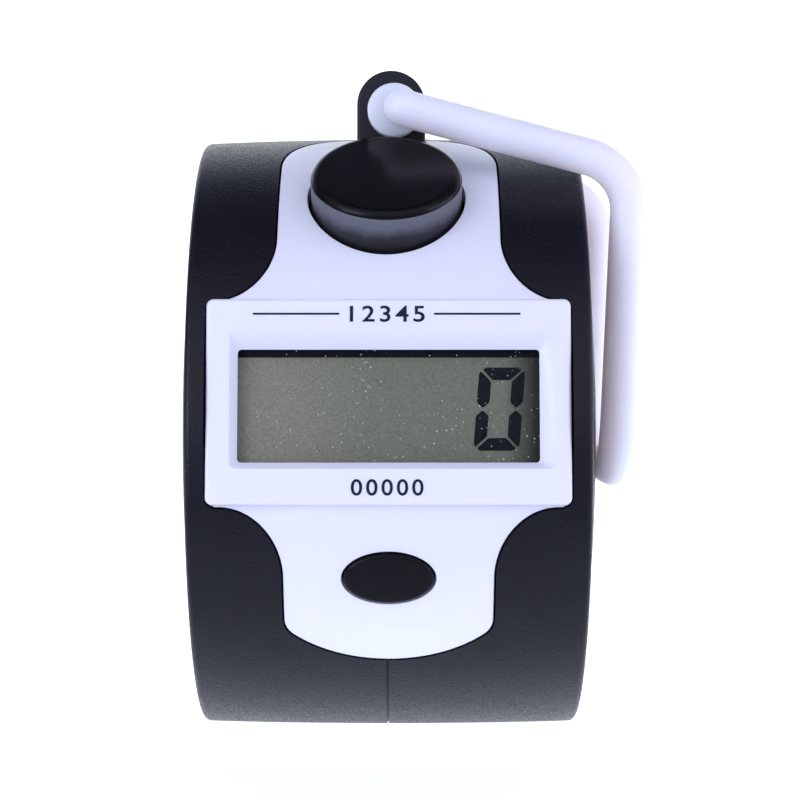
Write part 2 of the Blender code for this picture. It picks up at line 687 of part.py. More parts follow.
def make_reset_button(gloss, rubber, carbon):
    cap = ellipse(RESET_HALF_WIDTH, RESET_HALF_HEIGHT)
    flange = ellipse(RESET_HALF_WIDTH + RESET_RIM, RESET_HALF_HEIGHT + RESET_RIM)
    button = extruded("reset_button", cap, RESET_FLANGE_LOW, RESET_TOP, RESET_FRAME, gloss)
    unite(button,
          extruded("reset_flange", flange, RESET_FLANGE_LOW, RESET_FLANGE_HIGH, RESET_FRAME),
          cylinder("reset_stem", 1.1 * MM, 20.9 * MM, 22 * MM, RESET_FRAME, sides=20))
    seat = BOARD_HIGH + GAP
    frame = DISPLAY_FRAME @ Matrix.Translation((0, -10.2 * MM, 0))
    dome = [
        (2.8 * MM, seat), (2.8 * MM, seat + 0.4 * MM), (2.2 * MM, seat + 0.5 * MM), (1.6 * MM, 16.6 * MM),
        (1.4 * MM, 16.9 * MM), (0, 16.9 * MM), (0, 16.4 * MM), (1.3 * MM, 16.4 * MM),
        (1.9 * MM, seat + 0.3 * MM), (1.9 * MM, seat),
    ]
    revolved("reset_dome", dome, frame, rubber, 16, ring=True)
    cylinder("reset_pill", 0.9 * MM, 15.7 * MM, 16.15 * MM, frame, carbon, 16)


# Boards, chassis and what is on them

BOARD_SCREWS = ((-10.6 * MM, -11.0 * MM), (10.6 * MM, -11.0 * MM))
SWITCH_SCREWS = ((-6.6 * MM, 0.0), (6.6 * MM, 0.0))


def make_screw(name, frame, head_radius, head_height, shank_radius, length, paint):
    """A pan-head screw with a cross recess; local z = 0 is the underside of its head."""
    profile = [
        (0, -length), (shank_radius * 0.6, -length), (shank_radius, -length + shank_radius),
        (shank_radius, 0), (head_radius, 0), (head_radius, head_height * 0.55),
        (head_radius * 0.75, head_height), (0, head_height),
    ]
    screw = revolved(name, profile, frame, paint, 12)
    arm = head_radius * 0.62
    slot = head_radius * 0.14
    deep = head_height * 0.45
    carve(screw,
          box(f"{name}_slot_a", (-arm, -slot, deep), (arm, slot, head_height * 2), frame),
          box(f"{name}_slot_b", (-slot, -arm, deep), (slot, arm, head_height * 2), frame))


def make_boards(board_green, black_epoxy, tin, ceramic, dark_plastic, steel):
    board = box("main_board", (-BOARD_HALF_WIDTH, -13.3 * MM, BOARD_LOW), (BOARD_HALF_WIDTH, 3.6 * MM, BOARD_HIGH),
                DISPLAY_FRAME, board_green)
    switch_low = (-8 * MM, -4.4 * MM, SWITCH_BOARD_LOW)
    switch_high = (8 * MM, 6.4 * MM, SWITCH_BOARD_HIGH)
    switch_board = box("switch_board", switch_low, switch_high, COUNT_FRAME, board_green)
    chassis = box("chassis", (-BOARD_HALF_WIDTH, -12.6 * MM, 9.6 * MM), (BOARD_HALF_WIDTH, 8.4 * MM, 10.7 * MM),
                  DISPLAY_FRAME, dark_plastic)
    unite(chassis, box("switch_tray", (-BOARD_HALF_WIDTH, -4.9 * MM, 12.5 * MM),
                       (BOARD_HALF_WIDTH, 7.4 * MM, SWITCH_BOARD_LOW - GAP), COUNT_FRAME))
    carve(chassis, box("chassis_window", (-8.5 * MM, -9 * MM, 9 * MM), (8.5 * MM, 2 * MM, 11.5 * MM), DISPLAY_FRAME))
    for number, (x, y) in enumerate(BOARD_SCREWS, 1):
        frame = DISPLAY_FRAME @ Matrix.Translation((x, y, BOARD_HIGH + FINE_GAP))
        unite(chassis, cylinder(f"post_{number}", 1.5 * MM, -4.5 * MM, -1.65 * MM, frame, sides=20))
        carve(chassis, cylinder(f"post_bore_{number}", 0.8 * MM, -6 * MM, 0, frame, sides=16))
        carve(board, cylinder(f"board_hole_{number}", 0.8 * MM, -3 * MM, 1 * MM, frame, sides=16))
        make_screw(f"board_screw_{number}", frame, 1.3 * MM, 0.8 * MM, 0.55 * MM, 4.0 * MM, steel)
    for number, (x, y) in enumerate(SWITCH_SCREWS, 1):
        frame = COUNT_FRAME @ Matrix.Translation((x, y, SWITCH_BOARD_HIGH + FINE_GAP))
        carve(chassis, cylinder(f"tray_bore_{number}", 0.8 * MM, -4 * MM, 0, frame, sides=16))
        carve(switch_board, cylinder(f"switch_hole_{number}", 0.8 * MM, -2 * MM, 1 * MM, frame, sides=16))
        make_screw(f"switch_screw_{number}", frame, 1.3 * MM, 0.8 * MM, 0.55 * MM, 2.4 * MM, steel)
    under = BOARD_LOW - FINE_GAP
    blob_frame = DISPLAY_FRAME @ Matrix.Translation((-1.5 * MM, -2.5 * MM, 0))
    blob = [(3.2 * MM * math.sin(a), under - 1.3 * MM * math.cos(a)) for a in spaced(0, math.pi / 2, 4)]
    revolved("chip_blob", blob + [(0, under)], blob_frame, black_epoxy, 24)
    crystal_frame = DISPLAY_FRAME @ Matrix.Translation((6.5 * MM, -6.6 * MM, under - 1.0 * MM))
    crystal_frame = crystal_frame @ Matrix.Rotation(math.radians(90), 4, "Y")
    cylinder("crystal_can", 0.95 * MM, -3 * MM, 3 * MM, crystal_frame, tin, 16)
    for number, x in enumerate((-7.5 * MM, -5.0 * MM), 1):
        box(f"capacitor_{number}", (x, -7.6 * MM, under - 0.8 * MM), (x + 1.2 * MM, -5.6 * MM, under),
            DISPLAY_FRAME, ceramic)


# Battery compartment

def make_battery(dark_plastic, black_plastic, steel, red, black):
    holder_back = 20.2 * MM
    holder = box("battery_holder", (-8.2 * MM, -9.2 * MM, 12.4 * MM), (8.2 * MM, 9.2 * MM, holder_back),
                 BACK_FRAME, dark_plastic)
    cell_frame = BACK_FRAME @ Matrix.Translation((0, -CELL_Z, 0))
    carve(holder,
          cylinder("cell_room", CELL_RADIUS + 0.6 * MM, 13.6 * MM, 22 * MM, cell_frame, sides=40),
          box("strip_room", (5 * MM, -1.2 * MM, 13.6 * MM), (9 * MM, 1.2 * MM, 22 * MM), cell_frame),
          box("tail_room", (-1.0 * MM, -1.0 * MM, 11 * MM), (1.0 * MM, 1.0 * MM, 14 * MM), cell_frame))
    cell = [
        (0, CELL_LOW), (4.6 * MM, CELL_LOW), (4.6 * MM, CELL_LOW + 0.4 * MM), (CELL_RADIUS, CELL_LOW + 0.6 * MM),
        (CELL_RADIUS, CELL_HIGH - 0.3 * MM), (CELL_RADIUS - 0.3 * MM, CELL_HIGH), (0, CELL_HIGH),
    ]
    revolved("battery_cell", cell, cell_frame, steel, 40)
    inner = CELL_RADIUS + 0.12 * MM
    outer = CELL_RADIUS + 0.4 * MM
    strip = arc((0, 0), outer, outer, -30, 30, 8) + arc((0, 0), inner, inner, 30, -30, 8)
    positive = extruded("battery_contact_positive", strip, 14.6 * MM, 19.4 * MM, cell_frame, steel)
    unite(positive, box("strip_tail", (6.05 * MM, -0.9 * MM, 14.8 * MM), (9.4 * MM, 0.9 * MM, 15.2 * MM), cell_frame))
    negative = box("battery_contact_negative", (-3.5 * MM, -1.4 * MM, 13.85 * MM), (3.5 * MM, 1.4 * MM, 14.2 * MM),
                   cell_frame, steel)
    unite(negative, box("plate_tail", (-0.6 * MM, -0.6 * MM, 11.4 * MM), (0.6 * MM, 0.6 * MM, 14.0 * MM), cell_frame))
    make_battery_door(holder, cell_frame, black_plastic, steel)
    red_end = DISPLAY_FRAME @ Vector((7.0 * MM, -3.5 * MM, BOARD_LOW - 0.9 * MM))
    black_end = DISPLAY_FRAME @ Vector((-6.6 * MM, -1.0 * MM, BOARD_LOW - 0.9 * MM))
    axis = Vector((0, 0, AXIS_HEIGHT))
    red_route = [
        axis + Vector((9.9 * MM, 14.2 * MM, CELL_Z)),
        axis + Vector((9.9 * MM, 10 * MM, CELL_Z - 1 * MM)),
        axis + Vector((8.8 * MM, 2 * MM, CELL_Z - 3.5 * MM)),
        axis + Vector((7.4 * MM, -6 * MM, CELL_Z - 3 * MM)),
        red_end,
    ]
    tube("battery_wire_red", smooth_route(red_route), 0.5 * MM, Matrix.Identity(4), red)
    black_route = [
        axis + Vector((0, 10.9 * MM, CELL_Z)),
        axis + Vector((-0.4 * MM, 8 * MM, CELL_Z - 0.6 * MM)),
        axis + Vector((-3 * MM, 1 * MM, CELL_Z - 2.5 * MM)),
        axis + Vector((-6 * MM, -6 * MM, CELL_Z - 1.2 * MM)),
        black_end,
    ]
    tube("battery_wire_black", smooth_route(black_route), 0.5 * MM, Matrix.Identity(4), black)


def make_battery_door(holder, cell_frame, black_plastic, steel):
    outline = rectangle((-DOOR_HALF_WIDTH, -DOOR_HALF_LENGTH), (DOOR_HALF_WIDTH, DOOR_HALF_LENGTH), 1.5 * MM)
    back = along(180)
    outline = [(x, s + back) for x, s in outline]
    door = wrapped("battery_door", outline, DRUM_RADIUS - DOOR_THICKNESS, DRUM_RADIUS, black_plastic)
    screw_frame = BACK_FRAME @ Matrix.Translation((0, -DOOR_SCREW_Z, 22.7 * MM))
    unite(door, cylinder("door_screw_seat", 2.1 * MM, -2.2 * MM, 0.5 * MM, screw_frame, sides=20))
    unite(door, box("cell_presser", (-3 * MM, -2.5 * MM, CELL_HIGH + GAP), (3 * MM, 2.5 * MM, 24 * MM), cell_frame))
    carve(door,
          cylinder("door_screw_way", 0.9 * MM, -4 * MM, 4 * MM, screw_frame, sides=16),
          cylinder("door_screw_head_room", 1.85 * MM, -FINE_GAP, 4 * MM, screw_frame, sides=20))
    carve(holder, cylinder("door_screw_thread", 0.9 * MM, -7 * MM, 0, screw_frame, sides=16))
    make_screw("battery_door_screw", screw_frame, 1.6 * MM, 1.1 * MM, 0.65 * MM, 6.0 * MM, steel)


def make_case_screws(steel):
    for number, (y, z) in enumerate(case_screw_places(), 1):
        frame = sideways_frame(y, z) @ Matrix.Translation((0, 0, 12.75 * MM))
        make_screw(f"case_screw_{number}", frame, 1.8 * MM, 1.4 * MM, 0.85 * MM, 20 * MM, steel)


def main():
    clear_scene()
    black_plastic = material("black_plastic", (0.018, 0.019, 0.024), 0.55)
    dark_plastic = material("dark_plastic", (0.05, 0.05, 0.055), 0.5)
    gloss_black = material("gloss_black", (0.012, 0.012, 0.014), 0.18)
    white_plastic = material("white_plastic", (0.80, 0.80, 0.84), 0.35)
    clear = material("clear_plastic", (0.9, 0.92, 0.92), 0.05, alpha=0.25)
    lcd_glass = material("lcd_glass", (0.16, 0.17, 0.13), 0.3)
    film = material("silver_film", (0.6, 0.62, 0.6), 0.4)
    elastomer = material("elastomer", (0.3, 0.3, 0.32), 0.7)
    rubber = material("rubber", (0.5, 0.5, 0.52), 0.8)
    carbon = material("carbon", (0.02, 0.02, 0.02), 0.9)
    steel = material("steel", (0.6, 0.6, 0.6), 0.3, 1.0)
    green = material("board_green", (0.02, 0.16, 0.06), 0.4)
    epoxy = material("black_epoxy", (0.01, 0.01, 0.01), 0.35)
    tin = material("tin", (0.7, 0.7, 0.68), 0.35, 1.0)
    ceramic = material("ceramic", (0.45, 0.32, 0.2), 0.6)
    red = material("red_insulation", (0.5, 0.02, 0.02), 0.5)
    black = material("black_insulation", (0.02, 0.02, 0.02), 0.5)

    make_shells(black_plastic)
    make_side_cover("left_side_cover", -1, black_plastic)
    make_side_cover("right_side_cover", 1, black_plastic)
    make_lug(black_plastic)
    make_finger_ring(white_plastic)
    make_face_plate(white_plastic)
    make_display(clear, lcd_glass, film, dark_plastic, elastomer)
    make_count_button(gloss_black, steel, rubber, carbon)
    make_reset_button(gloss_black, rubber, carbon)
    make_boards(green, epoxy, tin, ceramic, dark_plastic, steel)
    make_battery(dark_plastic, black_plastic, steel, red, black)
    make_case_screws(steel)


main()
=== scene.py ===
"""Looks of the hand tally counter: its shells, face plate, ring, buttons, display and print."""
import json
import math

import bmesh
import bpy
from mathutils import Matrix, Vector


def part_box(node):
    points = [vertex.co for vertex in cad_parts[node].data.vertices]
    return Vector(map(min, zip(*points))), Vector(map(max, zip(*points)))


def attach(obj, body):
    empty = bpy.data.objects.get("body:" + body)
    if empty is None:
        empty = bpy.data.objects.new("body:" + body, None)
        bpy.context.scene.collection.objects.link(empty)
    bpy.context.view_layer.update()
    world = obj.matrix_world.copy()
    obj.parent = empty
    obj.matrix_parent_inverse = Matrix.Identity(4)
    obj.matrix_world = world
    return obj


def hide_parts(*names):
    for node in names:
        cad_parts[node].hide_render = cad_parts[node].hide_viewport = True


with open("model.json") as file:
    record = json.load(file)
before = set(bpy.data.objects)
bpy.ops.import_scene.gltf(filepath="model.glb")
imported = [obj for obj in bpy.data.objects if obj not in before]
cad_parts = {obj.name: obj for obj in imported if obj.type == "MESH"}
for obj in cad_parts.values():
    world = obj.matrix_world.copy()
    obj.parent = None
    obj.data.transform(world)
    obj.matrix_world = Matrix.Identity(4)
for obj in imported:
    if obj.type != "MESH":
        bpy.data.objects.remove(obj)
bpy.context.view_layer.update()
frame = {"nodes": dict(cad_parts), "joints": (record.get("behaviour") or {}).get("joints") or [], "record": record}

MM = 0.001
WELD = 0.0005 * MM
CASE = "case"

# Anchors read from the frame
joints = {joint["name"]: joint for joint in frame["joints"]}
cover_low, cover_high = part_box("left_side_cover")
AXIS_HEIGHT = (cover_low[2] + cover_high[2]) / 2
hinge = joints["ring_swing"]["pos_m"]
PIVOT = (hinge[0], hinge[2] - AXIS_HEIGHT)


def press_angle(name):
    """Angle above the front, in degrees, of the button whose joint presses it inward."""
    axis = joints[name]["axis"]
    return math.degrees(math.atan2(-axis[2], axis[1]))


COUNT_ANGLE = press_angle("count_press")
RESET_ANGLE = press_angle("reset_press")

# Case
DRUM_RADIUS = 25.1 * MM
CROWN = 0.38 * MM
BAND_HALF_WIDTH = 15.6 * MM
EDGE_ROUND = 0.5 * MM
CAVITY_RADIUS = 22.6 * MM
SIDE_INNER = 13.4 * MM
SIDE_OUTER = 15.0 * MM
SEAM_X = -0.12 * MM
SEAM_GAP = 0.1 * MM
SEAM_ROUND = 0.12 * MM
LIP_ROUND = 0.2 * MM
LAP = 0.6 * MM
LAP_RADIUS = 24.85 * MM
LAP_PLAY = 0.08 * MM
DRUM_SEGMENTS = 240
CROWN_CUT_REACH = 13 * MM
CROWN_CUTS = 13
FOOT_CUT = (20 * MM, 15 * MM, 10 * MM)
COVER_RADIUS = (cover_high[2] - cover_low[2]) / 2
COVER_DOME = 20.0 * MM
COVER_RIM = 15.4 * MM
COVER_RISE = 1.25 * MM
COVER_FLATNESS = 8
COVER_WALL = 1.0 * MM
COVER_RIM_ROUND = 0.15 * MM
COVER_HOLLOW_MARGIN = 0.1 * MM
COVER_HOLLOW_EDGE = 1.0 * MM

# Clearances
GAP = 0.3 * MM
FINE_GAP = 0.15 * MM

# Distances from the drum's axis that cutters run between, from inside its wall to outside everything
INSIDE = 18 * MM
WALL_INSIDE = 20 * MM
OUTSIDE = 30 * MM
POCKET_CUT_RISE = 4 * MM

# Face plate. Its places along the drum are angles in degrees above the front.
PLATE_THICKNESS = 1.3 * MM
PLATE_RIM = 0.12 * MM
BLOCK_ANGLE = 6.2
BLOCK_FACE = 24.6 * MM
BLOCK_BACK = 22.4 * MM
BLOCK_HALF_WIDTH = 13.9 * MM
BLOCK_HALF_HEIGHT = 7.87 * MM
BLOCK_CORNER = 0.55 * MM
BLOCK_RIM = 0.3 * MM
NECK_ARC_WIDTH = 4.8 * MM
NECK_ARC_LENGTH = 5.8 * MM
UPPER_NECK = 8.7 * MM
UPPER_ROOT = 19.8
UPPER_START = 24.6
UPPER_END_CENTRE = 60.0
UPPER_END_LENGTH = 9.1 * MM
LOWER_NECK = 8.1 * MM
LOWER_ROOT = -8.2
LOWER_START = -12.6
LOWER_END = -44.7
LOWER_END_RADIUS = 11.3 * MM
LOWER_CORNER = 2.0 * MM

# Display
WINDOW_HALF_WIDTH = 11.52 * MM
WINDOW_HALF_HEIGHT = 4.33 * MM
WINDOW_DROP = 0.28 * MM
WINDOW_CORNER = 0.3 * MM
SLOPE_LEFT = 0.6 * MM
SLOPE_RIGHT = 1.1 * MM
SLOPE_TOP = 1.65 * MM
SLOPE_BOTTOM = 0.53 * MM
SLOPE_DEPTH = 0.75 * MM
LENS_FACE = 23.6 * MM
LENS_THICKNESS = 0.5 * MM
LENS_HALF_WIDTH = 12.3 * MM
LENS_HALF_HEIGHT = 5.6 * MM
LENS_CORNER = 0.4 * MM
LENS_RIM = 0.06 * MM
LENS_ROOM_HALF_HEIGHT = 6.2 * MM
LCD_FACE = 22.9 * MM
LCD_THICKNESS = 1.6 * MM
LCD_HALF_WIDTH = 12.3 * MM
LCD_HALF_HEIGHT = 5.9 * MM
LCD_CORNER = 0.2 * MM
LCD_RIM = 0.05 * MM
DISPLAY_ROOM_HALF_WIDTH = 12.8 * MM
DISPLAY_ROOM_HALF_HEIGHT = 6.5 * MM
DISPLAY_ROOM_TOP = 23 * MM
DIGIT_HEIGHT = 6.4 * MM
DIGIT_WIDTH = 3.52 * MM
DIGIT_STROKE = 0.97 * MM
DIGIT_GAP = 0.16 * MM
DIGIT_SLANT = math.tan(math.radians(4.5))
DIGIT_X = 8.48 * MM
DIGIT_Y = -0.14 * MM
DIGIT_CORNER = 0.14 * MM
DIGIT_NOSE = 0.45 * MM
DIGIT_LIFT = 0.005 * MM
DARK_BAND_TOP = 3.55 * MM
DARK_BAND_LEFT = -11.55 * MM
DARK_BAND_INSET = 0.1 * MM

# Print
PRINT_HEIGHT = 0.02 * MM
PRINT_LIFT = 0.004 * MM
RULE_Y = 6.7 * MM
RULE_HALF_THICKNESS = 0.075 * MM
RULE_CORNER = 0.05 * MM
RULES = {"left": (-10.35 * MM, -3.75 * MM), "right": (3.45 * MM, 10.05 * MM)}
FIGURE_HEIGHT = 1.25 * MM
FIGURES_X = -0.1 * MM
LOWER_FIGURES_Y = -6.55 * MM

# Buttons
COUNT_X = -0.2 * MM
COUNT_FORWARD = 1.79 * MM
COUNT_RADIUS = 5.98 * MM
COUNT_HOLE = 6.28 * MM
COUNT_TOP = 27.4 * MM
COUNT_EDGE = 0.75 * MM
COUNT_DOME = 0.08 * MM
COUNT_TOP_THICKNESS = 2.2 * MM
COUNT_HOLLOW_RADIUS = 4.0 * MM
COUNT_STEM_RADIUS = 1.9 * MM
COUNT_STEM_LOW = 18.6 * MM
COUNT_CASE_GAP = 0.2 * MM
# How far down the button's wall the painted reflection reaches
PAINTED_REFLECTION_DEPTH = 2.6 * MM
COUNT_FLANGE_RADIUS = 7.0 * MM
COUNT_FLANGE_LOW = 19.7 * MM
COUNT_FLANGE_HIGH = 20.5 * MM
RESET_HALF_WIDTH = 3.5 * MM
RESET_HALF_HEIGHT = 2.17 * MM
RESET_TOP = 25.4 * MM
RESET_EDGE = 0.3 * MM
RESET_DOME = 0.12 * MM
RESET_FLANGE_LOW = 21.3 * MM
RESET_FLANGE_HIGH = 22.1 * MM
RESET_RIM = 1.05 * MM
RESET_STEM_RADIUS = 1.1 * MM
RESET_STEM_LOW = 20.9 * MM
RESET_STEM_HIGH = 22 * MM
RESET_PLATE_GAP = 0.17 * MM
RESET_CASE_GAP = 0.35 * MM

# Hinge block and finger ring
LUG_X = 0.15 * MM
LUG_HALF_WIDTH = 2.78 * MM
LUG_HALF_LENGTH = 11.6 * MM
LUG_TOP = 29.6 * MM
LUG_LOW = 20.6 * MM
LUG_RIM = 0.25 * MM
LUG_ROOM_LOW = 17 * MM
LUG_ROOM_HIGH = 28 * MM
BORE_RADIUS = 1.5 * MM
BORE_DEPTH = 3.6 * MM
BORE_CUT_END = 14 * MM
PIN_RADIUS = 1.25 * MM
PIN_END_GAP = 0.4 * MM
FLANGE_RADIUS = 2.15 * MM
FLANGE_END = 13.8 * MM
FLANGE_RIM = 0.2 * MM
ROD_RADIUS = 1.5 * MM
ARM_Y = 15.0 * MM
ARM_START = (1.05 * MM, 26.1 * MM)
SHOULDER = (19.32 * MM, 21.3 * MM)
LOWER_BEND = (18.2 * MM, -2.75 * MM)
SHOULDER_RADIUS = 4.4 * MM
LOWER_BEND_RADIUS = 4.5 * MM
BOW_X = 18.45 * MM
BOW_RADIUS = 60 * MM

# Battery door
DOOR_HALF_WIDTH = 8.5 * MM
DOOR_HALF_LENGTH = 10.0 * MM
DOOR_THICKNESS = 1.4 * MM
DOOR_CORNER = 1.5 * MM
DOOR_RIM = 0.2 * MM
GRIP_COUNT = 4
GRIP_START = 6.4 * MM
GRIP_PITCH = 1.0 * MM
GRIP_HALF_LENGTH = 3.4 * MM
GRIP_HALF_WIDTH = 0.22 * MM
GRIP_DEPTH = 0.25 * MM
SCREW_Z = 6.2 * MM
SCREW_FACE = 22.7 * MM
SCREW_HEAD_RADIUS = 1.6 * MM
SCREW_HEAD_SIDE = 0.6 * MM
SCREW_HEAD_TOP = 1.1 * MM
SCREW_HEAD_ROUND = 0.4 * MM
SCREW_SHANK_RADIUS = 0.65 * MM
SCREW_TIP_RADIUS = 0.4 * MM
SCREW_LENGTH = 6.0 * MM
SCREW_TAPER = 5.4 * MM
SLOT_HALF_LENGTH = 1.0 * MM
SLOT_HALF_WIDTH = 0.22 * MM
SLOT_FLOOR = 0.5 * MM
SEAT_RADIUS = 2.1 * MM
SEAT_DEPTH = 2.2 * MM
SEAT_TOP = 0.5 * MM
SCREW_WAY_RADIUS = 0.9 * MM
HEAD_ROOM_RADIUS = 1.85 * MM
SCREW_CUT_REACH = 4 * MM

# Camera
CAMERA_X = 0.87 * MM
CAMERA_DISTANCE = 200 * MM
CAMERA_RISE = 2.75 * MM
FOCAL_LENGTH = 104.13    # in millimetres, as Blender takes it

# Sockets of a Mix node that mixes colours
MIX_A = 6
MIX_B = 7
MIX_RESULT = 2


# Frames

def radial_frame(angle):
    """Local z points out of the drum at the angle, local x is +X and local y runs up along the drum."""
    turn = Matrix.Rotation(math.radians(90 - angle), 4, "X")
    return Matrix.Translation((0, 0, AXIS_HEIGHT)) @ turn


def sideways_frame():
    return Matrix.Translation((0, 0, AXIS_HEIGHT)) @ Matrix.Rotation(math.radians(90), 4, "Y")


def level_frame(x=0.0, z=0.0):
    return Matrix.Translation((x, 0, AXIS_HEIGHT + z))


def lengthwise_frame(x, z):
    """Local z is -Y, along the hinge line; local y is up."""
    return Matrix.Translation((x, 0, AXIS_HEIGHT + z)) @ Matrix.Rotation(math.radians(90), 4, "X")


DISPLAY_FRAME = radial_frame(BLOCK_ANGLE)
COUNT_FRAME = radial_frame(COUNT_ANGLE) @ Matrix.Translation((COUNT_X, -COUNT_FORWARD, 0))
COUNT_AXIS = COUNT_FRAME.to_3x3() @ Vector((0, 0, 1))
RESET_FRAME = radial_frame(RESET_ANGLE)
BACK_FRAME = radial_frame(180)


# Outlines

def spaced(start, end, count):
    return [start + (end - start) * i / count for i in range(count + 1)]


def arc(centre, radius_x, radius_y, start, end, count):
    points = []
    for angle in spaced(math.radians(start), math.radians(end), count):
        points.append((centre[0] + radius_x * math.cos(angle), centre[1] + radius_y * math.sin(angle)))
    return points


def ellipse(radius_x, radius_y, count=96):
    return arc((0, 0), radius_x, radius_y, 0, 360, count)[:-1]


def rectangle(low, high, corner=0.0, steps=6):
    if corner == 0:
        return [(low[0], low[1]), (high[0], low[1]), (high[0], high[1]), (low[0], high[1])]
    points = []
    centres = (
        (high[0] - corner, high[1] - corner, 0),
        (low[0] + corner, high[1] - corner, 90),
        (low[0] + corner, low[1] + corner, 180),
        (high[0] - corner, low[1] + corner, 270),
    )
    for x, y, start in centres:
        points += arc((x, y), corner, corner, start, start + 90, steps)
    return points


def grown(outline, distance):
    """The anticlockwise outline moved outward, or inward for a negative distance."""
    points = []
    count = len(outline)
    for i in range(count):
        before = Vector(outline[i]) - Vector(outline[i - 1])
        after = Vector(outline[(i + 1) % count]) - Vector(outline[i])
        normal_before = Vector((before.y, -before.x)).normalized()
        normal_after = Vector((after.y, -after.x)).normalized()
        middle = (normal_before + normal_after).normalized()
        reach = distance / max(middle.dot(normal_after), 0.5)
        points.append(tuple(Vector(outline[i]) + middle * reach))
    return points


def mirrored_outline(right_half):
    return right_half + [(-x, y) for x, y in reversed(right_half) if x > 1e-7]


def along(angle):
    return DRUM_RADIUS * math.radians(angle)


def upper_neck_outline():
    start = along(UPPER_START)
    end_centre = along(UPPER_END_CENTRE)
    block_edge = BLOCK_HALF_WIDTH - BLOCK_CORNER
    corner = (UPPER_NECK + NECK_ARC_WIDTH, start + NECK_ARC_LENGTH)
    right = [(block_edge, along(UPPER_ROOT)), (block_edge, start)]
    right += reversed(arc(corner, NECK_ARC_WIDTH, NECK_ARC_LENGTH, 180, 270, 24))
    right += arc((0, end_centre), UPPER_NECK, UPPER_END_LENGTH, 0, 90, 36)
    return mirrored_outline(right)


def lower_neck_outline():
    start = along(LOWER_START)
    end_centre = along(LOWER_END) + LOWER_END_RADIUS
    corner_x = LOWER_NECK - LOWER_CORNER
    reach = LOWER_END_RADIUS - LOWER_CORNER
    corner_y = end_centre - math.sqrt(reach ** 2 - corner_x ** 2)
    turn = math.degrees(math.atan2(corner_y - end_centre, corner_x))
    block_edge = BLOCK_HALF_WIDTH - BLOCK_CORNER
    corner = (LOWER_NECK + NECK_ARC_WIDTH, start - NECK_ARC_LENGTH)
    right = arc((0, end_centre), LOWER_END_RADIUS, LOWER_END_RADIUS, -90, turn, 20)
    right += arc((corner_x, corner_y), LOWER_CORNER, LOWER_CORNER, turn, 0, 8)[1:]
    right += reversed(arc(corner, NECK_ARC_WIDTH, NECK_ARC_LENGTH, 90, 180, 24))
    right += [(block_edge, start), (block_edge, along(LOWER_ROOT))]
    return mirrored_outline(right)


# Meshes

def placed(name, data):
    obj = bpy.data.objects.new(name, data)
    bpy.context.scene.collection.objects.link(obj)
    return obj


def solid(name, data, place):
    bmesh.ops.recalc_face_normals(data, faces=data.faces)
    if data.calc_volume(signed=True) < 0:
        bmesh.ops.reverse_faces(data, faces=data.faces)
    mesh = bpy.data.meshes.new(name)
    data.to_mesh(mesh)
    data.free()
    mesh.transform(place)
    return placed(name, mesh)


def layered_data(layers):
    """A closed bmesh through rings of equal length, each an outline and a height."""
    data = bmesh.new()
    rings = [[data.verts.new((x, y, height)) for x, y in outline] for outline, height in layers]
    data.faces.new(rings[0])
    data.faces.new(rings[-1])
    for ring, following in zip(rings, rings[1:]):
        for i in range(len(ring)):
            data.faces.new((ring[i - 1], ring[i], following[i], following[i - 1]))
    return data


def rounded_layers(outline, low, high, rim, steps=4):
    """Layers of an extrusion whose upper edge is rounded."""
    layers = [(outline, low)]
    for angle in spaced(0, math.pi / 2, steps):
        inset = rim * (1 - math.cos(angle))
        layers.append((grown(outline, -inset), high - rim * (1 - math.sin(angle))))
    return layers


def extruded(name, outline, low, high, place, rim=0.0):
    layers = rounded_layers(outline, low, high, rim) if rim else [(outline, low), (outline, high)]
    return solid(name, layered_data(layers), place)


def box(name, low, high, place):
    return extruded(name, rectangle(low, high), low[2], high[2], place)


def cylinder(name, radius, low, high, place, sides=96):
    return extruded(name, ellipse(radius, radius, sides), low, high, place)


def revolved(name, profile, place, segments=96, ring=False):
    data = bmesh.new()
    rows = []
    for radius, height in profile:
        if radius < 1e-9:
            rows.append([data.verts.new((0, 0, height))])
            continue
        rows.append([data.verts.new((x, y, height)) for x, y in ellipse(radius, radius, segments)])
    pairs = list(zip(rows, rows[1:]))
    if ring:
        pairs.append((rows[-1], rows[0]))
    for first, second in pairs:
        if len(first) == 1 and len(second) == 1:
            continue
        for i in range(segments):
            corners = [first[i % len(first)], first[(i + 1) % len(first)]]
            corners += [second[(i + 1) % len(second)], second[i % len(second)]]
            data.faces.new(list(dict.fromkeys(corners)))
    return solid(name, data, place)


def crown_drop(x):
    return CROWN * (x / BAND_HALF_WIDTH) ** 2


def wrapped(name, outline, inner, outer, rim=0.0):
    """Bends an extruded outline of (x, distance along the surface) round the drum."""
    layers = rounded_layers(outline, inner, outer, rim) if rim else [(outline, inner), (outline, outer)]
    data = layered_data(layers)
    lows = min(s for x, s in outline)
    highs = max(s for x, s in outline)
    pitch = along(360 / DRUM_SEGMENTS)
    turns = range(math.ceil(lows / pitch), math.floor(highs / pitch) + 1)
    cuts = [((0, k * pitch, 0), (0, 1, 0)) for k in turns]
    cuts += [((x, 0, 0), (1, 0, 0)) for x in spaced(-CROWN_CUT_REACH, CROWN_CUT_REACH, CROWN_CUTS)]
    for place, normal in cuts:
        parts = data.verts[:] + data.edges[:] + data.faces[:]
        bmesh.ops.bisect_plane(data, geom=parts, dist=1e-7, plane_co=place, plane_no=normal)
    bmesh.ops.triangulate(data, faces=data.faces)
    for vert in data.verts:
        x, s, height = vert.co
        radius = height - crown_drop(x)
        angle = s / DRUM_RADIUS
        vert.co = (x, -radius * math.cos(angle), radius * math.sin(angle))
    return solid(name, data, level_frame())


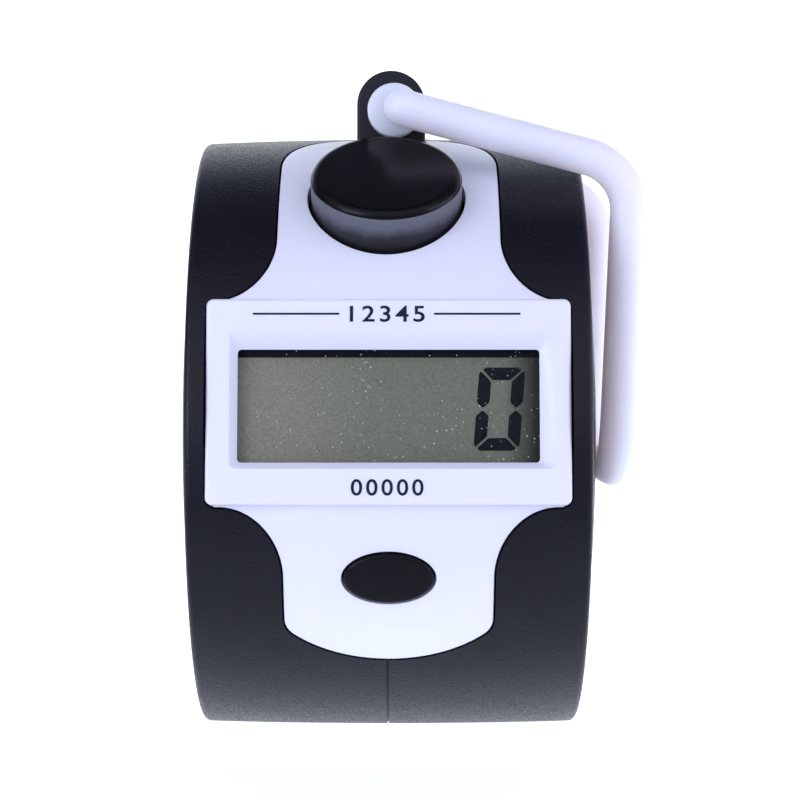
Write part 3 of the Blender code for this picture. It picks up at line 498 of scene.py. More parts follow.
def tube(name, points, radius, place, sides=32, cap_steps=6):
    """A rod of one radius along a path, with round ends."""
    path = [Vector(p) for p in points]
    tangents = []
    for i in range(len(path)):
        tangents.append((path[min(i + 1, len(path) - 1)] - path[max(i - 1, 0)]).normalized())
    side = tangents[0].orthogonal().normalized()
    stations = []
    for point, tangent in zip(path, tangents):
        side = (side - tangent * side.dot(tangent)).normalized()
        stations.append((point, side.copy(), tangent.cross(side), radius))
    first, last = stations[0], stations[-1]
    cap_angles = spaced(math.radians(84), math.radians(90 / cap_steps), cap_steps - 2)
    start_caps = [(first[0] - tangents[0] * radius * math.sin(a), first[1], first[2], radius * math.cos(a))
                  for a in cap_angles]
    end_caps = [(last[0] + tangents[-1] * radius * math.sin(a), last[1], last[2], radius * math.cos(a))
                for a in reversed(cap_angles)]
    layers = []
    data = bmesh.new()
    for centre, across, up, size in start_caps + stations + end_caps:
        ring = []
        for k in range(sides):
            angle = 2 * math.pi * k / sides
            ring.append(data.verts.new(centre + (across * math.cos(angle) + up * math.sin(angle)) * size))
        layers.append(ring)
    for ring, following in zip(layers, layers[1:]):
        for k in range(sides):
            data.faces.new((ring[k - 1], ring[k], following[k], following[k - 1]))
    data.faces.new(layers[0])
    data.faces.new(layers[-1])
    return solid(name, data, place)


def filleted_path(corners, steps=16):
    path = [Vector(corners[0][0])]
    for i in range(1, len(corners) - 1):
        corner = Vector(corners[i][0])
        radius = corners[i][1]
        back = (Vector(corners[i - 1][0]) - corner).normalized()
        ahead = (Vector(corners[i + 1][0]) - corner).normalized()
        half = back.angle(ahead) / 2
        centre = corner + (back + ahead).normalized() * radius / math.sin(half)
        start = corner + back * radius / math.tan(half) - centre
        end = corner + ahead * radius / math.tan(half) - centre
        for k in range(steps + 1):
            path.append(centre + start.slerp(end, k / steps).normalized() * radius)
    path.append(Vector(corners[-1][0]))
    return path


def combine(obj, operation, others):
    """Applies Booleans with the other objects in turn, welding between them, and removes the others."""
    for other in others:
        modifier = obj.modifiers.new(other.name, "BOOLEAN")
        modifier.operation = operation
        modifier.solver = "EXACT"
        modifier.object = other
        settle(obj)
        weld(obj)
        bpy.data.objects.remove(other)


def weld(obj):
    """Merges the tiny edges a Boolean leaves, which would spoil the next one."""
    data = bmesh.new()
    data.from_mesh(obj.data)
    bmesh.ops.remove_doubles(data, verts=data.verts, dist=WELD)
    bmesh.ops.dissolve_degenerate(data, edges=data.edges, dist=WELD)
    data.to_mesh(obj.data)
    data.free()


def settle(obj):
    """Turns an object's modifiers into its mesh."""
    graph = bpy.context.evaluated_depsgraph_get()
    made = bpy.data.meshes.new_from_object(obj.evaluated_get(graph))
    obj.modifiers.clear()
    obj.data = made


def carve(obj, *cutters):
    combine(obj, "DIFFERENCE", cutters)


def unite(obj, *additions):
    combine(obj, "UNION", additions)


def finished(obj, paint, body, replaced=(), sharp=32):
    """Cleans, shades, paints and registers a piece."""
    weld(obj)
    mesh = obj.data
    mesh.materials.clear()
    mesh.materials.append(paint)
    mesh.shade_smooth()
    mesh.set_sharp_from_angle(angle=math.radians(sharp))
    even = obj.modifiers.new("even_normals", "WEIGHTED_NORMAL")
    even.keep_sharp = True
    even.weight = 60
    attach(obj, body)
    if replaced:
        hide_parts(*replaced)
    return obj


# Materials. The functions that end in _node return the new node's output.

def new_material(name):
    made = bpy.data.materials.new(name)
    made.use_nodes = True
    nodes = made.node_tree.nodes
    coords = nodes.new("ShaderNodeTexCoord").outputs["Object"]
    return made, nodes, nodes["Principled BSDF"], coords


def connect(node, inputs):
    """Sets each of the node's inputs to a value, or links it to another node's output."""
    for socket, value in inputs.items():
        if isinstance(value, bpy.types.NodeSocket):
            node.id_data.links.new(value, node.inputs[socket])
        else:
            node.inputs[socket].default_value = value


def noise_node(nodes, coords, scale, detail=3.0, roughness=0.6):
    noise = nodes.new("ShaderNodeTexNoise")
    connect(noise, {"Vector": coords, "Scale": scale, "Detail": detail, "Roughness": roughness})
    return noise.outputs["Fac"]


def ramp_node(nodes, source, stops):
    ramp = nodes.new("ShaderNodeValToRGB")
    elements = ramp.color_ramp.elements
    elements[0].position = stops[0][0]
    elements[0].color = (*stops[0][1], 1)
    elements[1].position = stops[-1][0]
    elements[1].color = (*stops[-1][1], 1)
    for position, colour in stops[1:-1]:
        elements.new(position).color = (*colour, 1)
    connect(ramp, {"Fac": source})
    return ramp.outputs["Color"]


def bump_node(nodes, height, strength, distance, below=None):
    bump = nodes.new("ShaderNodeBump")
    connect(bump, {"Height": height, "Strength": strength, "Distance": distance})
    if below:
        connect(bump, {"Normal": below})
    return bump.outputs["Normal"]


def range_node(nodes, source, low, high, start=0.0, end=1.0):
    """Maps the source's range from start to end onto the range from low to high."""
    spread = nodes.new("ShaderNodeMapRange")
    connect(spread, {"Value": source, "From Min": start, "From Max": end, "To Min": low, "To Max": high})
    return spread.outputs["Result"]


def math_node(nodes, operation, first, second):
    result = nodes.new("ShaderNodeMath")
    result.operation = operation
    connect(result, {0: first, 1: second})
    return result.outputs["Value"]


def mix_node(nodes, factor, first, second, blend="MIX"):
    mix = nodes.new("ShaderNodeMix")
    mix.data_type = "RGBA"
    mix.blend_type = blend
    connect(mix, {"Factor": factor, MIX_A: first, MIX_B: second})
    return mix.outputs[MIX_RESULT]


def split(nodes, coords):
    """The X, Y and Z outputs of the coordinates."""
    parts = nodes.new("ShaderNodeSeparateXYZ")
    connect(parts, {"Vector": coords})
    return parts.outputs


def moulded_plastic(name, colour, rough, grain=0.0, grain_scale=4000, mottle=0.05, specular=0.5,
                    glow_through=0.0, glow_reach=2.4 * MM):
    """Plastic with a cloudy tint and uneven gloss and, where asked, a grain or light glowing through it."""
    made, nodes, shader, coords = new_material(name)
    low = [c * (1 - mottle) for c in colour]
    high = [min(c * (1 + mottle), 1) for c in colour]
    cloud = noise_node(nodes, coords, 180, 4)
    wear = noise_node(nodes, coords, 420, 5, 0.7)
    gloss = range_node(nodes, wear, rough - 0.06, rough + 0.06)
    normal = bump_node(nodes, noise_node(nodes, coords, 90, 2), 0.05, 0.2 * MM)
    if grain:
        sand = noise_node(nodes, coords, grain_scale, 2, 0.55)
        sparkle = range_node(nodes, sand, 0.12 * grain, -0.12 * grain, 0.4, 0.6)
        gloss = math_node(nodes, "ADD", gloss, sparkle)
        normal = bump_node(nodes, sand, grain, 0.05 * MM, normal)
    connect(shader, {
        "Base Color": ramp_node(nodes, cloud, [(0.3, low), (0.7, high)]),
        "Roughness": gloss,
        "Normal": normal,
        "Specular IOR Level": specular,
        "Subsurface Weight": glow_through,
        "Subsurface Radius": (1.0, 0.75, 0.6),
        "Subsurface Scale": glow_reach,
    })
    return made


def metal(name, colour, rough):
    made, nodes, shader, coords = new_material(name)
    stain = noise_node(nodes, coords, 350, 5)
    connect(shader, {
        "Base Color": ramp_node(nodes, stain, [(0.3, [c * 0.85 for c in colour]), (0.7, colour)]),
        "Roughness": range_node(nodes, stain, rough - 0.08, rough + 0.1),
        "Normal": bump_node(nodes, noise_node(nodes, coords, 2500, 3), 0.08, 0.03 * MM),
        "Metallic": 1.0,
    })
    return made


def display_glass(name, colour):
    """Grey-green display with a fine cloud and painted shade: darker to the right, with a painted shadow along its
    right edge.
    """
    made, nodes, shader, coords = new_material(name)
    cloud = noise_node(nodes, coords, 5200, 4, 0.8)
    tint = ramp_node(nodes, cloud, [(0.3, [c * 0.72 for c in colour]), (0.7, [c * 1.25 for c in colour])])
    # Painted shade across the glass, darkest in a painted shadow along the right edge.
    across = range_node(nodes, split(nodes, coords)["X"], 0.0, 1.0, -LCD_HALF_WIDTH, LCD_HALF_WIDTH)
    painted_shade = ramp_node(nodes, across, [
        (0.03, (1.0, 0.98, 0.98)),
        (0.45, (0.72, 0.72, 0.72)),
        (0.86, (0.66, 0.68, 0.66)),
        (0.955, (0.13, 0.13, 0.14)),
    ])
    connect(shader, {
        "Base Color": mix_node(nodes, 1.0, tint, painted_shade, "MULTIPLY"),
        "Roughness": 0.45,
        "Normal": bump_node(nodes, noise_node(nodes, coords, 2600, 2), 0.04, 0.04 * MM),
        "Specular IOR Level": 0.12,
    })
    return made


def window_plastic(name):
    """Clear plastic that shows as its gloss and a thin veil of dust specks."""
    made, nodes, shader, coords = new_material(name)
    specks = nodes.new("ShaderNodeTexVoronoi")
    connect(specks, {"Vector": coords, "Scale": 2000})
    size = range_node(nodes, noise_node(nodes, coords, 260, 3), -0.16, 0.30)
    mask = math_node(nodes, "LESS_THAN", specks.outputs["Distance"], size)
    connect(shader, {
        "Base Color": (0.85, 0.86, 0.84, 1),
        "Roughness": 0.12,
        "Alpha": range_node(nodes, mask, 0.0, 0.5),
        "Specular IOR Level": 0.03,
    })
    return made


def ink(name, colour):
    made, nodes, shader, coords = new_material(name)
    uneven = noise_node(nodes, coords, 3000, 3)
    worn = [c * 1.6 + 0.003 for c in colour]
    connect(shader, {
        "Base Color": ramp_node(nodes, uneven, [(0.35, colour), (0.75, worn)]),
        "Roughness": range_node(nodes, uneven, 0.45, 0.65),
        "Specular IOR Level": 0.08,
    })
    return made


def painted_light_wall(name):
    """The push button's side: a pale painted reflection near the top, and painted shade, black, where it goes into
    its hole.
    """
    made, nodes, shader, coords = new_material(name)
    height = nodes.new("ShaderNodeVectorMath")
    height.operation = "DOT_PRODUCT"
    connect(height, {0: coords, 1: COUNT_AXIS})
    cloud = noise_node(nodes, coords, 900, 5, 0.7)
    level = math_node(nodes, "ADD", height.outputs["Value"], range_node(nodes, cloud, -0.4 * MM, 0.4 * MM))
    top = COUNT_AXIS.dot(COUNT_FRAME @ Vector((0, 0, COUNT_TOP - COUNT_EDGE)))
    # Painted light: a pale painted reflection near the top fades into black painted shade towards the hole.
    fade = range_node(nodes, level, 0.0, 1.0, top - PAINTED_REFLECTION_DEPTH, top)
    connect(shader, {
        "Base Color": ramp_node(nodes, fade, [
            (0.0, (0.003, 0.003, 0.004)),
            (0.35, (0.018, 0.018, 0.024)),
            (0.75, (0.115, 0.12, 0.145)),
            (1.0, (0.13, 0.135, 0.16)),
        ]),
        "Roughness": range_node(nodes, cloud, 0.4, 0.55),
        "Normal": bump_node(nodes, cloud, 0.1, 0.05 * MM),
        "Specular IOR Level": 0.3,
    })
    return made


BLACK = moulded_plastic("black_moulding", (0.0028, 0.0030, 0.0070), 0.36, grain=0.7, grain_scale=5200,
                        mottle=0.25, specular=0.22)
LUG_BLACK = moulded_plastic("lug_moulding", (0.008, 0.009, 0.014), 0.42, grain=0.3, grain_scale=5200,
                            mottle=0.1, specular=0.22)
# The button's side wall, with a painted reflection near its top and painted shade towards its hole
WALL = painted_light_wall("button_wall_painted_light")
GLOSS = moulded_plastic("gloss_moulding", (0.0020, 0.0020, 0.0032), 0.22, mottle=0.1, specular=0.14)
WHITE = moulded_plastic("white_moulding", (0.735, 0.735, 0.83), 0.36, grain=0.02, grain_scale=3500,
                        mottle=0.012, glow_through=0.15)
RING_WHITE = moulded_plastic("ring_moulding", (0.72, 0.71, 0.79), 0.33, grain=0.02, grain_scale=3000,
                             mottle=0.015, specular=0.3, glow_through=1.0, glow_reach=7 * MM)
INNER = moulded_plastic("inner_moulding", (0.05, 0.05, 0.055), 0.5, mottle=0.1)
LCD = display_glass("display_glass", (0.205, 0.212, 0.158))
WINDOW = window_plastic("window_plastic")
SEGMENT = ink("segment_dark", (0.004, 0.005, 0.007))
PRINT = ink("print_ink", (0.012, 0.012, 0.02))
STEEL = metal("plated_steel", (0.62, 0.61, 0.59), 0.3)


# Case pieces

def shell_profile(seam, step):
    """Half of the case. The step along the seam laps under or over the other half and hides the inside."""
    straight = BAND_HALF_WIDTH - EDGE_ROUND
    lap_radius = LAP_RADIUS + (LAP_PLAY if step > 0 else 0)
    profile = arc((DRUM_RADIUS - SEAM_ROUND, seam + SEAM_ROUND), SEAM_ROUND, SEAM_ROUND, -90, 0, 4)[:-1]
    profile += [(DRUM_RADIUS - crown_drop(x), x) for x in spaced(seam + SEAM_ROUND, straight, 14)]
    edge_radius = DRUM_RADIUS - CROWN - EDGE_ROUND
    profile += arc((edge_radius, straight), EDGE_ROUND, EDGE_ROUND, 0, 90, 8)[1:]
    lip_centre = (COVER_RADIUS + GAP + LIP_ROUND, BAND_HALF_WIDTH - LIP_ROUND)
    profile += arc(lip_centre, LIP_ROUND, LIP_ROUND, 90, 180, 3)
    profile += [
        (COVER_RADIUS + GAP, SIDE_OUTER),
        (0, SIDE_OUTER),
        (0, SIDE_INNER),
        (CAVITY_RADIUS, SIDE_INNER),
        (CAVITY_RADIUS, seam + step),
        (lap_radius, seam + step),
        (lap_radius, seam),
    ]
    return profile


def door_outline():
    half = (DOOR_HALF_WIDTH, DOOR_HALF_LENGTH)
    outline = rectangle((-half[0], -half[1]), half, DOOR_CORNER)
    return [(x, s + along(180)) for x, s in outline]


def case_openings():
    drum_out = DRUM_RADIUS + POCKET_CUT_RISE
    pocket_floor = DRUM_RADIUS - PLATE_THICKNESS - GAP
    half_width = BLOCK_HALF_WIDTH + FINE_GAP
    half_height = BLOCK_HALF_HEIGHT + FINE_GAP
    block = rectangle((-half_width, -half_height), (half_width, half_height), BLOCK_CORNER + FINE_GAP)
    reset = ellipse(RESET_HALF_WIDTH + RESET_CASE_GAP, RESET_HALF_HEIGHT + RESET_CASE_GAP)
    room = (DISPLAY_ROOM_HALF_WIDTH, DISPLAY_ROOM_HALF_HEIGHT)
    foot_x, foot_y, foot_z = FOOT_CUT
    return [
        cylinder("cut_count", COUNT_HOLE + COUNT_CASE_GAP, INSIDE, OUTSIDE, COUNT_FRAME),
        extruded("cut_reset", reset, INSIDE, OUTSIDE, RESET_FRAME),
        wrapped("cut_upper_plate", grown(upper_neck_outline(), FINE_GAP), pocket_floor, drum_out),
        wrapped("cut_lower_plate", grown(lower_neck_outline(), FINE_GAP), pocket_floor, drum_out),
        extruded("cut_block", block, BLOCK_BACK - GAP, OUTSIDE, DISPLAY_FRAME),
        box("cut_display", (-room[0], -room[1], INSIDE), (*room, DISPLAY_ROOM_TOP), DISPLAY_FRAME),
        wrapped("cut_door", grown(door_outline(), FINE_GAP), WALL_INSIDE, drum_out),
        lug_room("cut_lug"),
        box("cut_foot", (-foot_x, -foot_y, -foot_z), (foot_x, foot_y, 0), Matrix.Identity(4)),
    ]


def lug_room(name):
    reach_x = LUG_HALF_WIDTH + FINE_GAP
    reach_y = LUG_HALF_LENGTH + FINE_GAP
    low = (LUG_X - reach_x, -reach_y, LUG_ROOM_LOW)
    high = (LUG_X + reach_x, reach_y, LUG_ROOM_HIGH)
    return box(name, low, high, level_frame())


def make_shells():
    for name, side in (("left", -1), ("right", 1)):
        seam = side * SEAM_X + SEAM_GAP / 2
        step = LAP if side > 0 else -(LAP - SEAM_GAP)
        profile = [(r, side * x) for r, x in shell_profile(seam, step)]
        shell = revolved(f"{name}_shell_skin", profile, sideways_frame(), DRUM_SEGMENTS, ring=True)
        carve(shell, *case_openings())
        finished(shell, BLACK, CASE, [f"{name}_shell"])


def cover_profile():
    outer = []
    inner = []
    back = SIDE_OUTER + GAP - FINE_GAP
    for step in spaced(0, 1, 36):
        fraction = 1 - (1 - step) ** 2
        height = COVER_RIM + COVER_RISE * (1 - fraction ** COVER_FLATNESS)
        outer.append((COVER_DOME * fraction, height))
        if height - COVER_WALL > back + COVER_HOLLOW_MARGIN:
            inner.append((COVER_DOME * fraction, height - COVER_WALL))
    hollow_edge = inner[-1][0] + COVER_HOLLOW_EDGE
    rim = COVER_RIM_ROUND
    edge = arc((COVER_RADIUS - rim, COVER_RIM - rim), rim, rim, 90, 0, 4)
    return outer + edge + [(COVER_RADIUS, back), (hollow_edge, back)] + inner[::-1]


def make_side_covers():
    for name, side in (("left", -1), ("right", 1)):
        profile = [(r, side * x) for r, x in cover_profile()]
        cover = revolved(f"{name}_cover_skin", profile, sideways_frame(), 180)
        finished(cover, BLACK, CASE, [f"{name}_side_cover"])


def make_lug():
    straight_top = LUG_TOP - LUG_HALF_WIDTH
    profile = [(-LUG_HALF_WIDTH, LUG_LOW), (LUG_HALF_WIDTH, LUG_LOW)]
    profile += arc((0, straight_top), LUG_HALF_WIDTH, LUG_HALF_WIDTH, 0, 180, 40)
    layers = []
    for angle in spaced(0, math.pi / 2, 4):
        outline = grown(profile, LUG_RIM * (math.sin(angle) - 1))
        layers.append((outline, -LUG_HALF_LENGTH + LUG_RIM * (1 - math.cos(angle))))
    layers += [(outline, -height) for outline, height in reversed(layers)]
    lug = solid("lug_body", layered_data(layers), lengthwise_frame(LUG_X, 0))
    bore_end = LUG_HALF_LENGTH - BORE_DEPTH
    bore_frame = lengthwise_frame(*PIVOT)
    carve(lug,
          cylinder("front_bore", BORE_RADIUS, bore_end, BORE_CUT_END, bore_frame, 64),
          cylinder("back_bore", BORE_RADIUS, -BORE_CUT_END, -bore_end, bore_frame, 64),
          cylinder("button_room", COUNT_HOLE + GAP, INSIDE, OUTSIDE, COUNT_FRAME))
    finished(lug, LUG_BLACK, CASE, ["ring_lug"])


def make_finger_ring():
    start_x, start_z = (place - origin for place, origin in zip(ARM_START, PIVOT))
    shoulder_x, shoulder_z = (place - origin for place, origin in zip(SHOULDER, PIVOT))
    bend_x, bend_z = (place - origin for place, origin in zip(LOWER_BEND, PIVOT))
    corners = [
        ((start_x, -ARM_Y, start_z), 0),
        ((shoulder_x, -ARM_Y, shoulder_z), SHOULDER_RADIUS),
        ((bend_x, -ARM_Y, bend_z), LOWER_BEND_RADIUS),
        ((BOW_X - PIVOT[0], 0, bend_z), BOW_RADIUS),
        ((bend_x, ARM_Y, bend_z), LOWER_BEND_RADIUS),
        ((shoulder_x, ARM_Y, shoulder_z), SHOULDER_RADIUS),
        ((start_x, ARM_Y, start_z), 0),
    ]
    ring = tube("ring_rod", filleted_path(corners), ROD_RADIUS, level_frame(*PIVOT))
    pin_frame = lengthwise_frame(*PIVOT)
    pin_end = LUG_HALF_LENGTH - BORE_DEPTH + PIN_END_GAP
    for name, side in (("front", 1), ("back", -1)):
        low, high = sorted((side * pin_end, side * (FLANGE_END - GAP)))
        unite(ring, cylinder(f"{name}_pin", PIN_RADIUS, low, high, pin_frame, 48))
        unite(ring, flange(f"{name}_flange", side, pin_frame))
    finished(ring, RING_WHITE, "finger_ring", ["finger_ring"], sharp=40)


def flange(name, side, place):
    """The collar between the lug and an arm, with rounded edges."""
    rim = FLANGE_RIM
    near = LUG_HALF_LENGTH + GAP
    profile = [(0, near)]
    profile += arc((FLANGE_RADIUS - rim, near + rim), rim, rim, -90, 0, 4)
    profile += arc((FLANGE_RADIUS - rim, FLANGE_END - rim), rim, rim, 0, 90, 4)
    profile.append((0, FLANGE_END))
    return revolved(name, [(r, side * h) for r, h in profile], place, 72)


# Face plate and display

def window_corners():
    low = (-WINDOW_HALF_WIDTH, -WINDOW_DROP - WINDOW_HALF_HEIGHT)
    high = (WINDOW_HALF_WIDTH, -WINDOW_DROP + WINDOW_HALF_HEIGHT)
    return low, high


def make_face_plate():
    inner = DRUM_RADIUS - PLATE_THICKNESS
    half = (BLOCK_HALF_WIDTH, BLOCK_HALF_HEIGHT)
    block = rectangle((-half[0], -half[1]), half, BLOCK_CORNER)
    plate = extruded("plate_body", block, BLOCK_BACK, BLOCK_FACE, DISPLAY_FRAME, BLOCK_RIM)
    unite(plate,
          wrapped("upper_neck", upper_neck_outline(), inner, DRUM_RADIUS, PLATE_RIM),
          wrapped("lower_neck", lower_neck_outline(), inner, DRUM_RADIUS, PLATE_RIM))
    low, high = window_corners()
    window = rectangle(low, high, WINDOW_CORNER)
    room = (LENS_HALF_WIDTH + GAP, LENS_ROOM_HALF_HEIGHT)
    lens_room = rectangle((-room[0], -room[1]), room)
    reset = ellipse(RESET_HALF_WIDTH + RESET_PLATE_GAP, RESET_HALF_HEIGHT + RESET_PLATE_GAP)
    carve(plate,
          extruded("window", window, WALL_INSIDE, OUTSIDE, DISPLAY_FRAME),
          window_slope(low, high),
          extruded("lens_room", lens_room, WALL_INSIDE, LENS_FACE + GAP / 2, DISPLAY_FRAME),
          cylinder("count_hole", COUNT_HOLE, INSIDE, OUTSIDE, COUNT_FRAME),
          extruded("reset_hole", reset, INSIDE, OUTSIDE, RESET_FRAME),
          lug_room("lug_notch"))
    finished(plate, WHITE, CASE, ["face_plate"])


def window_slope(low, high):
    """The cutter of the slopes round the window, which is widest at the block's face."""
    wide_low = (low[0] - SLOPE_LEFT, low[1] - SLOPE_BOTTOM)
    wide_high = (high[0] + SLOPE_RIGHT, high[1] + SLOPE_TOP)
    deep = rectangle(low, high, WINDOW_CORNER)
    wide = rectangle(wide_low, wide_high, WINDOW_CORNER * 1.6)
    layers = [(deep, BLOCK_FACE - SLOPE_DEPTH), (wide, BLOCK_FACE), (wide, BLOCK_FACE + 2 * MM)]
    return solid("window_slope", layered_data(layers), DISPLAY_FRAME)


def make_display():
    lens = rectangle((-LENS_HALF_WIDTH, -LENS_HALF_HEIGHT), (LENS_HALF_WIDTH, LENS_HALF_HEIGHT), LENS_CORNER)
    window = extruded("window_lens", lens, LENS_FACE - LENS_THICKNESS, LENS_FACE, DISPLAY_FRAME, LENS_RIM)
    finished(window, WINDOW, CASE, ["display_lens"])
    glass = rectangle((-LCD_HALF_WIDTH, -LCD_HALF_HEIGHT), (LCD_HALF_WIDTH, LCD_HALF_HEIGHT), LCD_CORNER)
    panel = extruded("display_glass", glass, LCD_FACE - LCD_THICKNESS, LCD_FACE, DISPLAY_FRAME, LCD_RIM)
    finished(panel, LCD, CASE, ["lcd_panel"])
    make_display_dark_band()
    make_digit()


def make_display_dark_band():
    """A thin black band laid on the display glass, seen along the top and the left of the window."""
    reach_x = LCD_HALF_WIDTH - DARK_BAND_INSET
    reach_y = LCD_HALF_HEIGHT - DARK_BAND_INSET
    top = rectangle((-reach_x, DARK_BAND_TOP), (reach_x, reach_y))
    side = rectangle((-reach_x, -reach_y), (DARK_BAND_LEFT, DARK_BAND_TOP))
    low = LCD_FACE + PRINT_LIFT
    for name, shape in (("display_dark_band_top", top), ("display_dark_band_left", side)):
        mask = extruded(name, shape, low, low + PRINT_HEIGHT, DISPLAY_FRAME)
        finished(mask, SEGMENT, CASE)


def segment_outlines():
    """The six bars of the figure 0, lettered clockwise from the top, in a frame centred on the figure."""
    half_w = DIGIT_WIDTH / 2
    half_h = DIGIT_HEIGHT / 2
    t = DIGIT_STROKE
    g = DIGIT_GAP
    shoulder = g / 2 + DIGIT_NOSE
    top = [
        (-half_w + 3 * g, half_h),
        (half_w - 3 * g, half_h),
        (half_w - 1.7 * g, half_h - 1.1 * g),
        (half_w - t - 0.7 * g, half_h - t),
        (-half_w + t + 0.7 * g, half_h - t),
        (-half_w + 1.7 * g, half_h - 1.1 * g),
    ]
    right_upper = [
        (half_w - 0.9 * g, half_h - 1.8 * g),
        (half_w, half_h - 3 * g),
        (half_w, shoulder),
        (half_w - t / 2, g / 2),
        (half_w - t, shoulder),
        (half_w - t, half_h - t - 0.8 * g),
    ]
    return {
        "a": top,
        "b": right_upper,
        "c": [(x, -y) for x, y in right_upper],
        "d": [(x, -y) for x, y in top],
        "e": [(-x, -y) for x, y in right_upper],
        "f": [(-x, y) for x, y in right_upper],
    }


def softened(outline, reach):
    """The outline with every corner cut by a small curve that starts one reach before it."""
    points = []
    count = len(outline)
    for i in range(count):
        corner = Vector(outline[i])
        before = Vector(outline[i - 1]) - corner
        after = Vector(outline[(i + 1) % count]) - corner
        start = corner + before.normalized() * min(reach, before.length / 2.5)
        end = corner + after.normalized() * min(reach, after.length / 2.5)
        for t in (0, 0.25, 0.5, 0.75, 1):
            points.append(tuple(start * (1 - t) ** 2 + corner * 2 * t * (1 - t) + end * t ** 2))
    return points


def make_digit():
    """The slanted figure 0 at the right end of the display."""
    low = LCD_FACE + DIGIT_LIFT
    for letter, corners in segment_outlines().items():
        soft = softened(corners, DIGIT_CORNER)
        outline = [(DIGIT_X + x + y * DIGIT_SLANT, DIGIT_Y - WINDOW_DROP + y) for x, y in soft]
        bar = extruded(f"digit_0_bar_{letter}", outline, low, low + PRINT_HEIGHT, DISPLAY_FRAME)
        finished(bar, SEGMENT, CASE)


def printed_figures(name, body, width, y):
    """Plain printed figures on the display block, scaled to the given width."""
    curve = bpy.data.curves.new(name, "FONT")
    curve.body = body
    curve.align_x = "CENTER"
    curve.extrude = 0.5
    curve.space_character = 1.25
    curve.offset = 0.012
    text = placed(name, curve)
    bpy.context.view_layer.update()
    settled = bpy.data.meshes.new_from_object(text.evaluated_get(bpy.context.evaluated_depsgraph_get()))
    bpy.data.objects.remove(text)
    xs = [v.co.x for v in settled.vertices]
    ys = [v.co.y for v in settled.vertices]
    scale_x = width / (max(xs) - min(xs))
    scale_y = FIGURE_HEIGHT / (max(ys) - min(ys))
    middle = ((max(xs) + min(xs)) / 2, (max(ys) + min(ys)) / 2)
    for vert in settled.vertices:
        vert.co = ((vert.co.x - middle[0]) * scale_x + FIGURES_X, (vert.co.y - middle[1]) * scale_y + y,
                   BLOCK_FACE + PRINT_LIFT + PRINT_HEIGHT * (0.5 + vert.co.z))
    settled.transform(DISPLAY_FRAME)
    finished(placed(name, settled), PRINT, CASE)


def make_print():
    """Plain figures above and below the window, in place of the object's words, and the two thin rules."""
    low = BLOCK_FACE + PRINT_LIFT
    for name, (start, end) in RULES.items():
        bottom = RULE_Y - RULE_HALF_THICKNESS
        outline = rectangle((start, bottom), (end, RULE_Y + RULE_HALF_THICKNESS), RULE_CORNER)
        rule = extruded(f"print_rule_{name}", outline, low, low + PRINT_HEIGHT, DISPLAY_FRAME)
        finished(rule, PRINT, CASE)
    printed_figures("print_count_figures", "12345", 5.7 * MM, RULE_Y)
    printed_figures("print_reset_figures", "00000", 5.5 * MM, LOWER_FIGURES_Y)


# Buttons

def make_count_button():
    """The round cap, whose side wall has a painted reflection near its top and painted shade towards its hole."""
    flat = COUNT_TOP - COUNT_DOME
    hollow = COUNT_TOP - COUNT_TOP_THICKNESS
    profile = [
        (0, COUNT_STEM_LOW),
        (COUNT_STEM_RADIUS, COUNT_STEM_LOW),
        (COUNT_STEM_RADIUS, hollow),
        (COUNT_HOLLOW_RADIUS, hollow),
        (COUNT_HOLLOW_RADIUS, COUNT_FLANGE_LOW),
        (COUNT_FLANGE_RADIUS, COUNT_FLANGE_LOW),
        (COUNT_FLANGE_RADIUS, COUNT_FLANGE_HIGH),
        (COUNT_RADIUS, COUNT_FLANGE_HIGH),
    ]
    edge = COUNT_RADIUS - COUNT_EDGE
    profile += arc((edge, flat - COUNT_EDGE), COUNT_EDGE, COUNT_EDGE, 0, 88, 14)
    profile += [(edge * f, flat + COUNT_DOME * (1 - f ** 2)) for f in spaced(0.98, 0, 14)]
    cap = revolved("count_cap", profile, COUNT_FRAME, 160)
    finished(cap, GLOSS, "count_button", ["count_button"], sharp=50)
    cap.data.materials.append(WALL)
    for face in cap.data.polygons:
        if abs(face.normal.dot(COUNT_AXIS)) < 0.2:
            face.material_index = 1


def make_reset_button():
    cap_outline = ellipse(RESET_HALF_WIDTH, RESET_HALF_HEIGHT)
    flange_outline = ellipse(RESET_HALF_WIDTH + RESET_RIM, RESET_HALF_HEIGHT + RESET_RIM)
    layers = [
        (flange_outline, RESET_FLANGE_LOW),
        (flange_outline, RESET_FLANGE_HIGH),
        (cap_outline, RESET_FLANGE_HIGH),
    ]
    edge_low = RESET_TOP - RESET_DOME - RESET_EDGE
    for angle in spaced(0, math.radians(84), 6):
        outline = grown(cap_outline, -RESET_EDGE * (1 - math.cos(angle)))
        layers.append((outline, edge_low + RESET_EDGE * math.sin(angle)))
    inner_w = RESET_HALF_WIDTH - RESET_EDGE
    inner_h = RESET_HALF_HEIGHT - RESET_EDGE
    for f in (0.92, 0.8, 0.65, 0.5, 0.35, 0.2, 0.08):
        layers.append((ellipse(inner_w * f, inner_h * f), edge_low + RESET_EDGE + RESET_DOME * (1 - f ** 2)))
    cap = solid("reset_cap", layered_data(layers), RESET_FRAME)
    unite(cap, cylinder("reset_stem", RESET_STEM_RADIUS, RESET_STEM_LOW, RESET_STEM_HIGH, RESET_FRAME, 48))
    finished(cap, GLOSS, "reset_button", ["reset_button"], sharp=50)


# Battery door

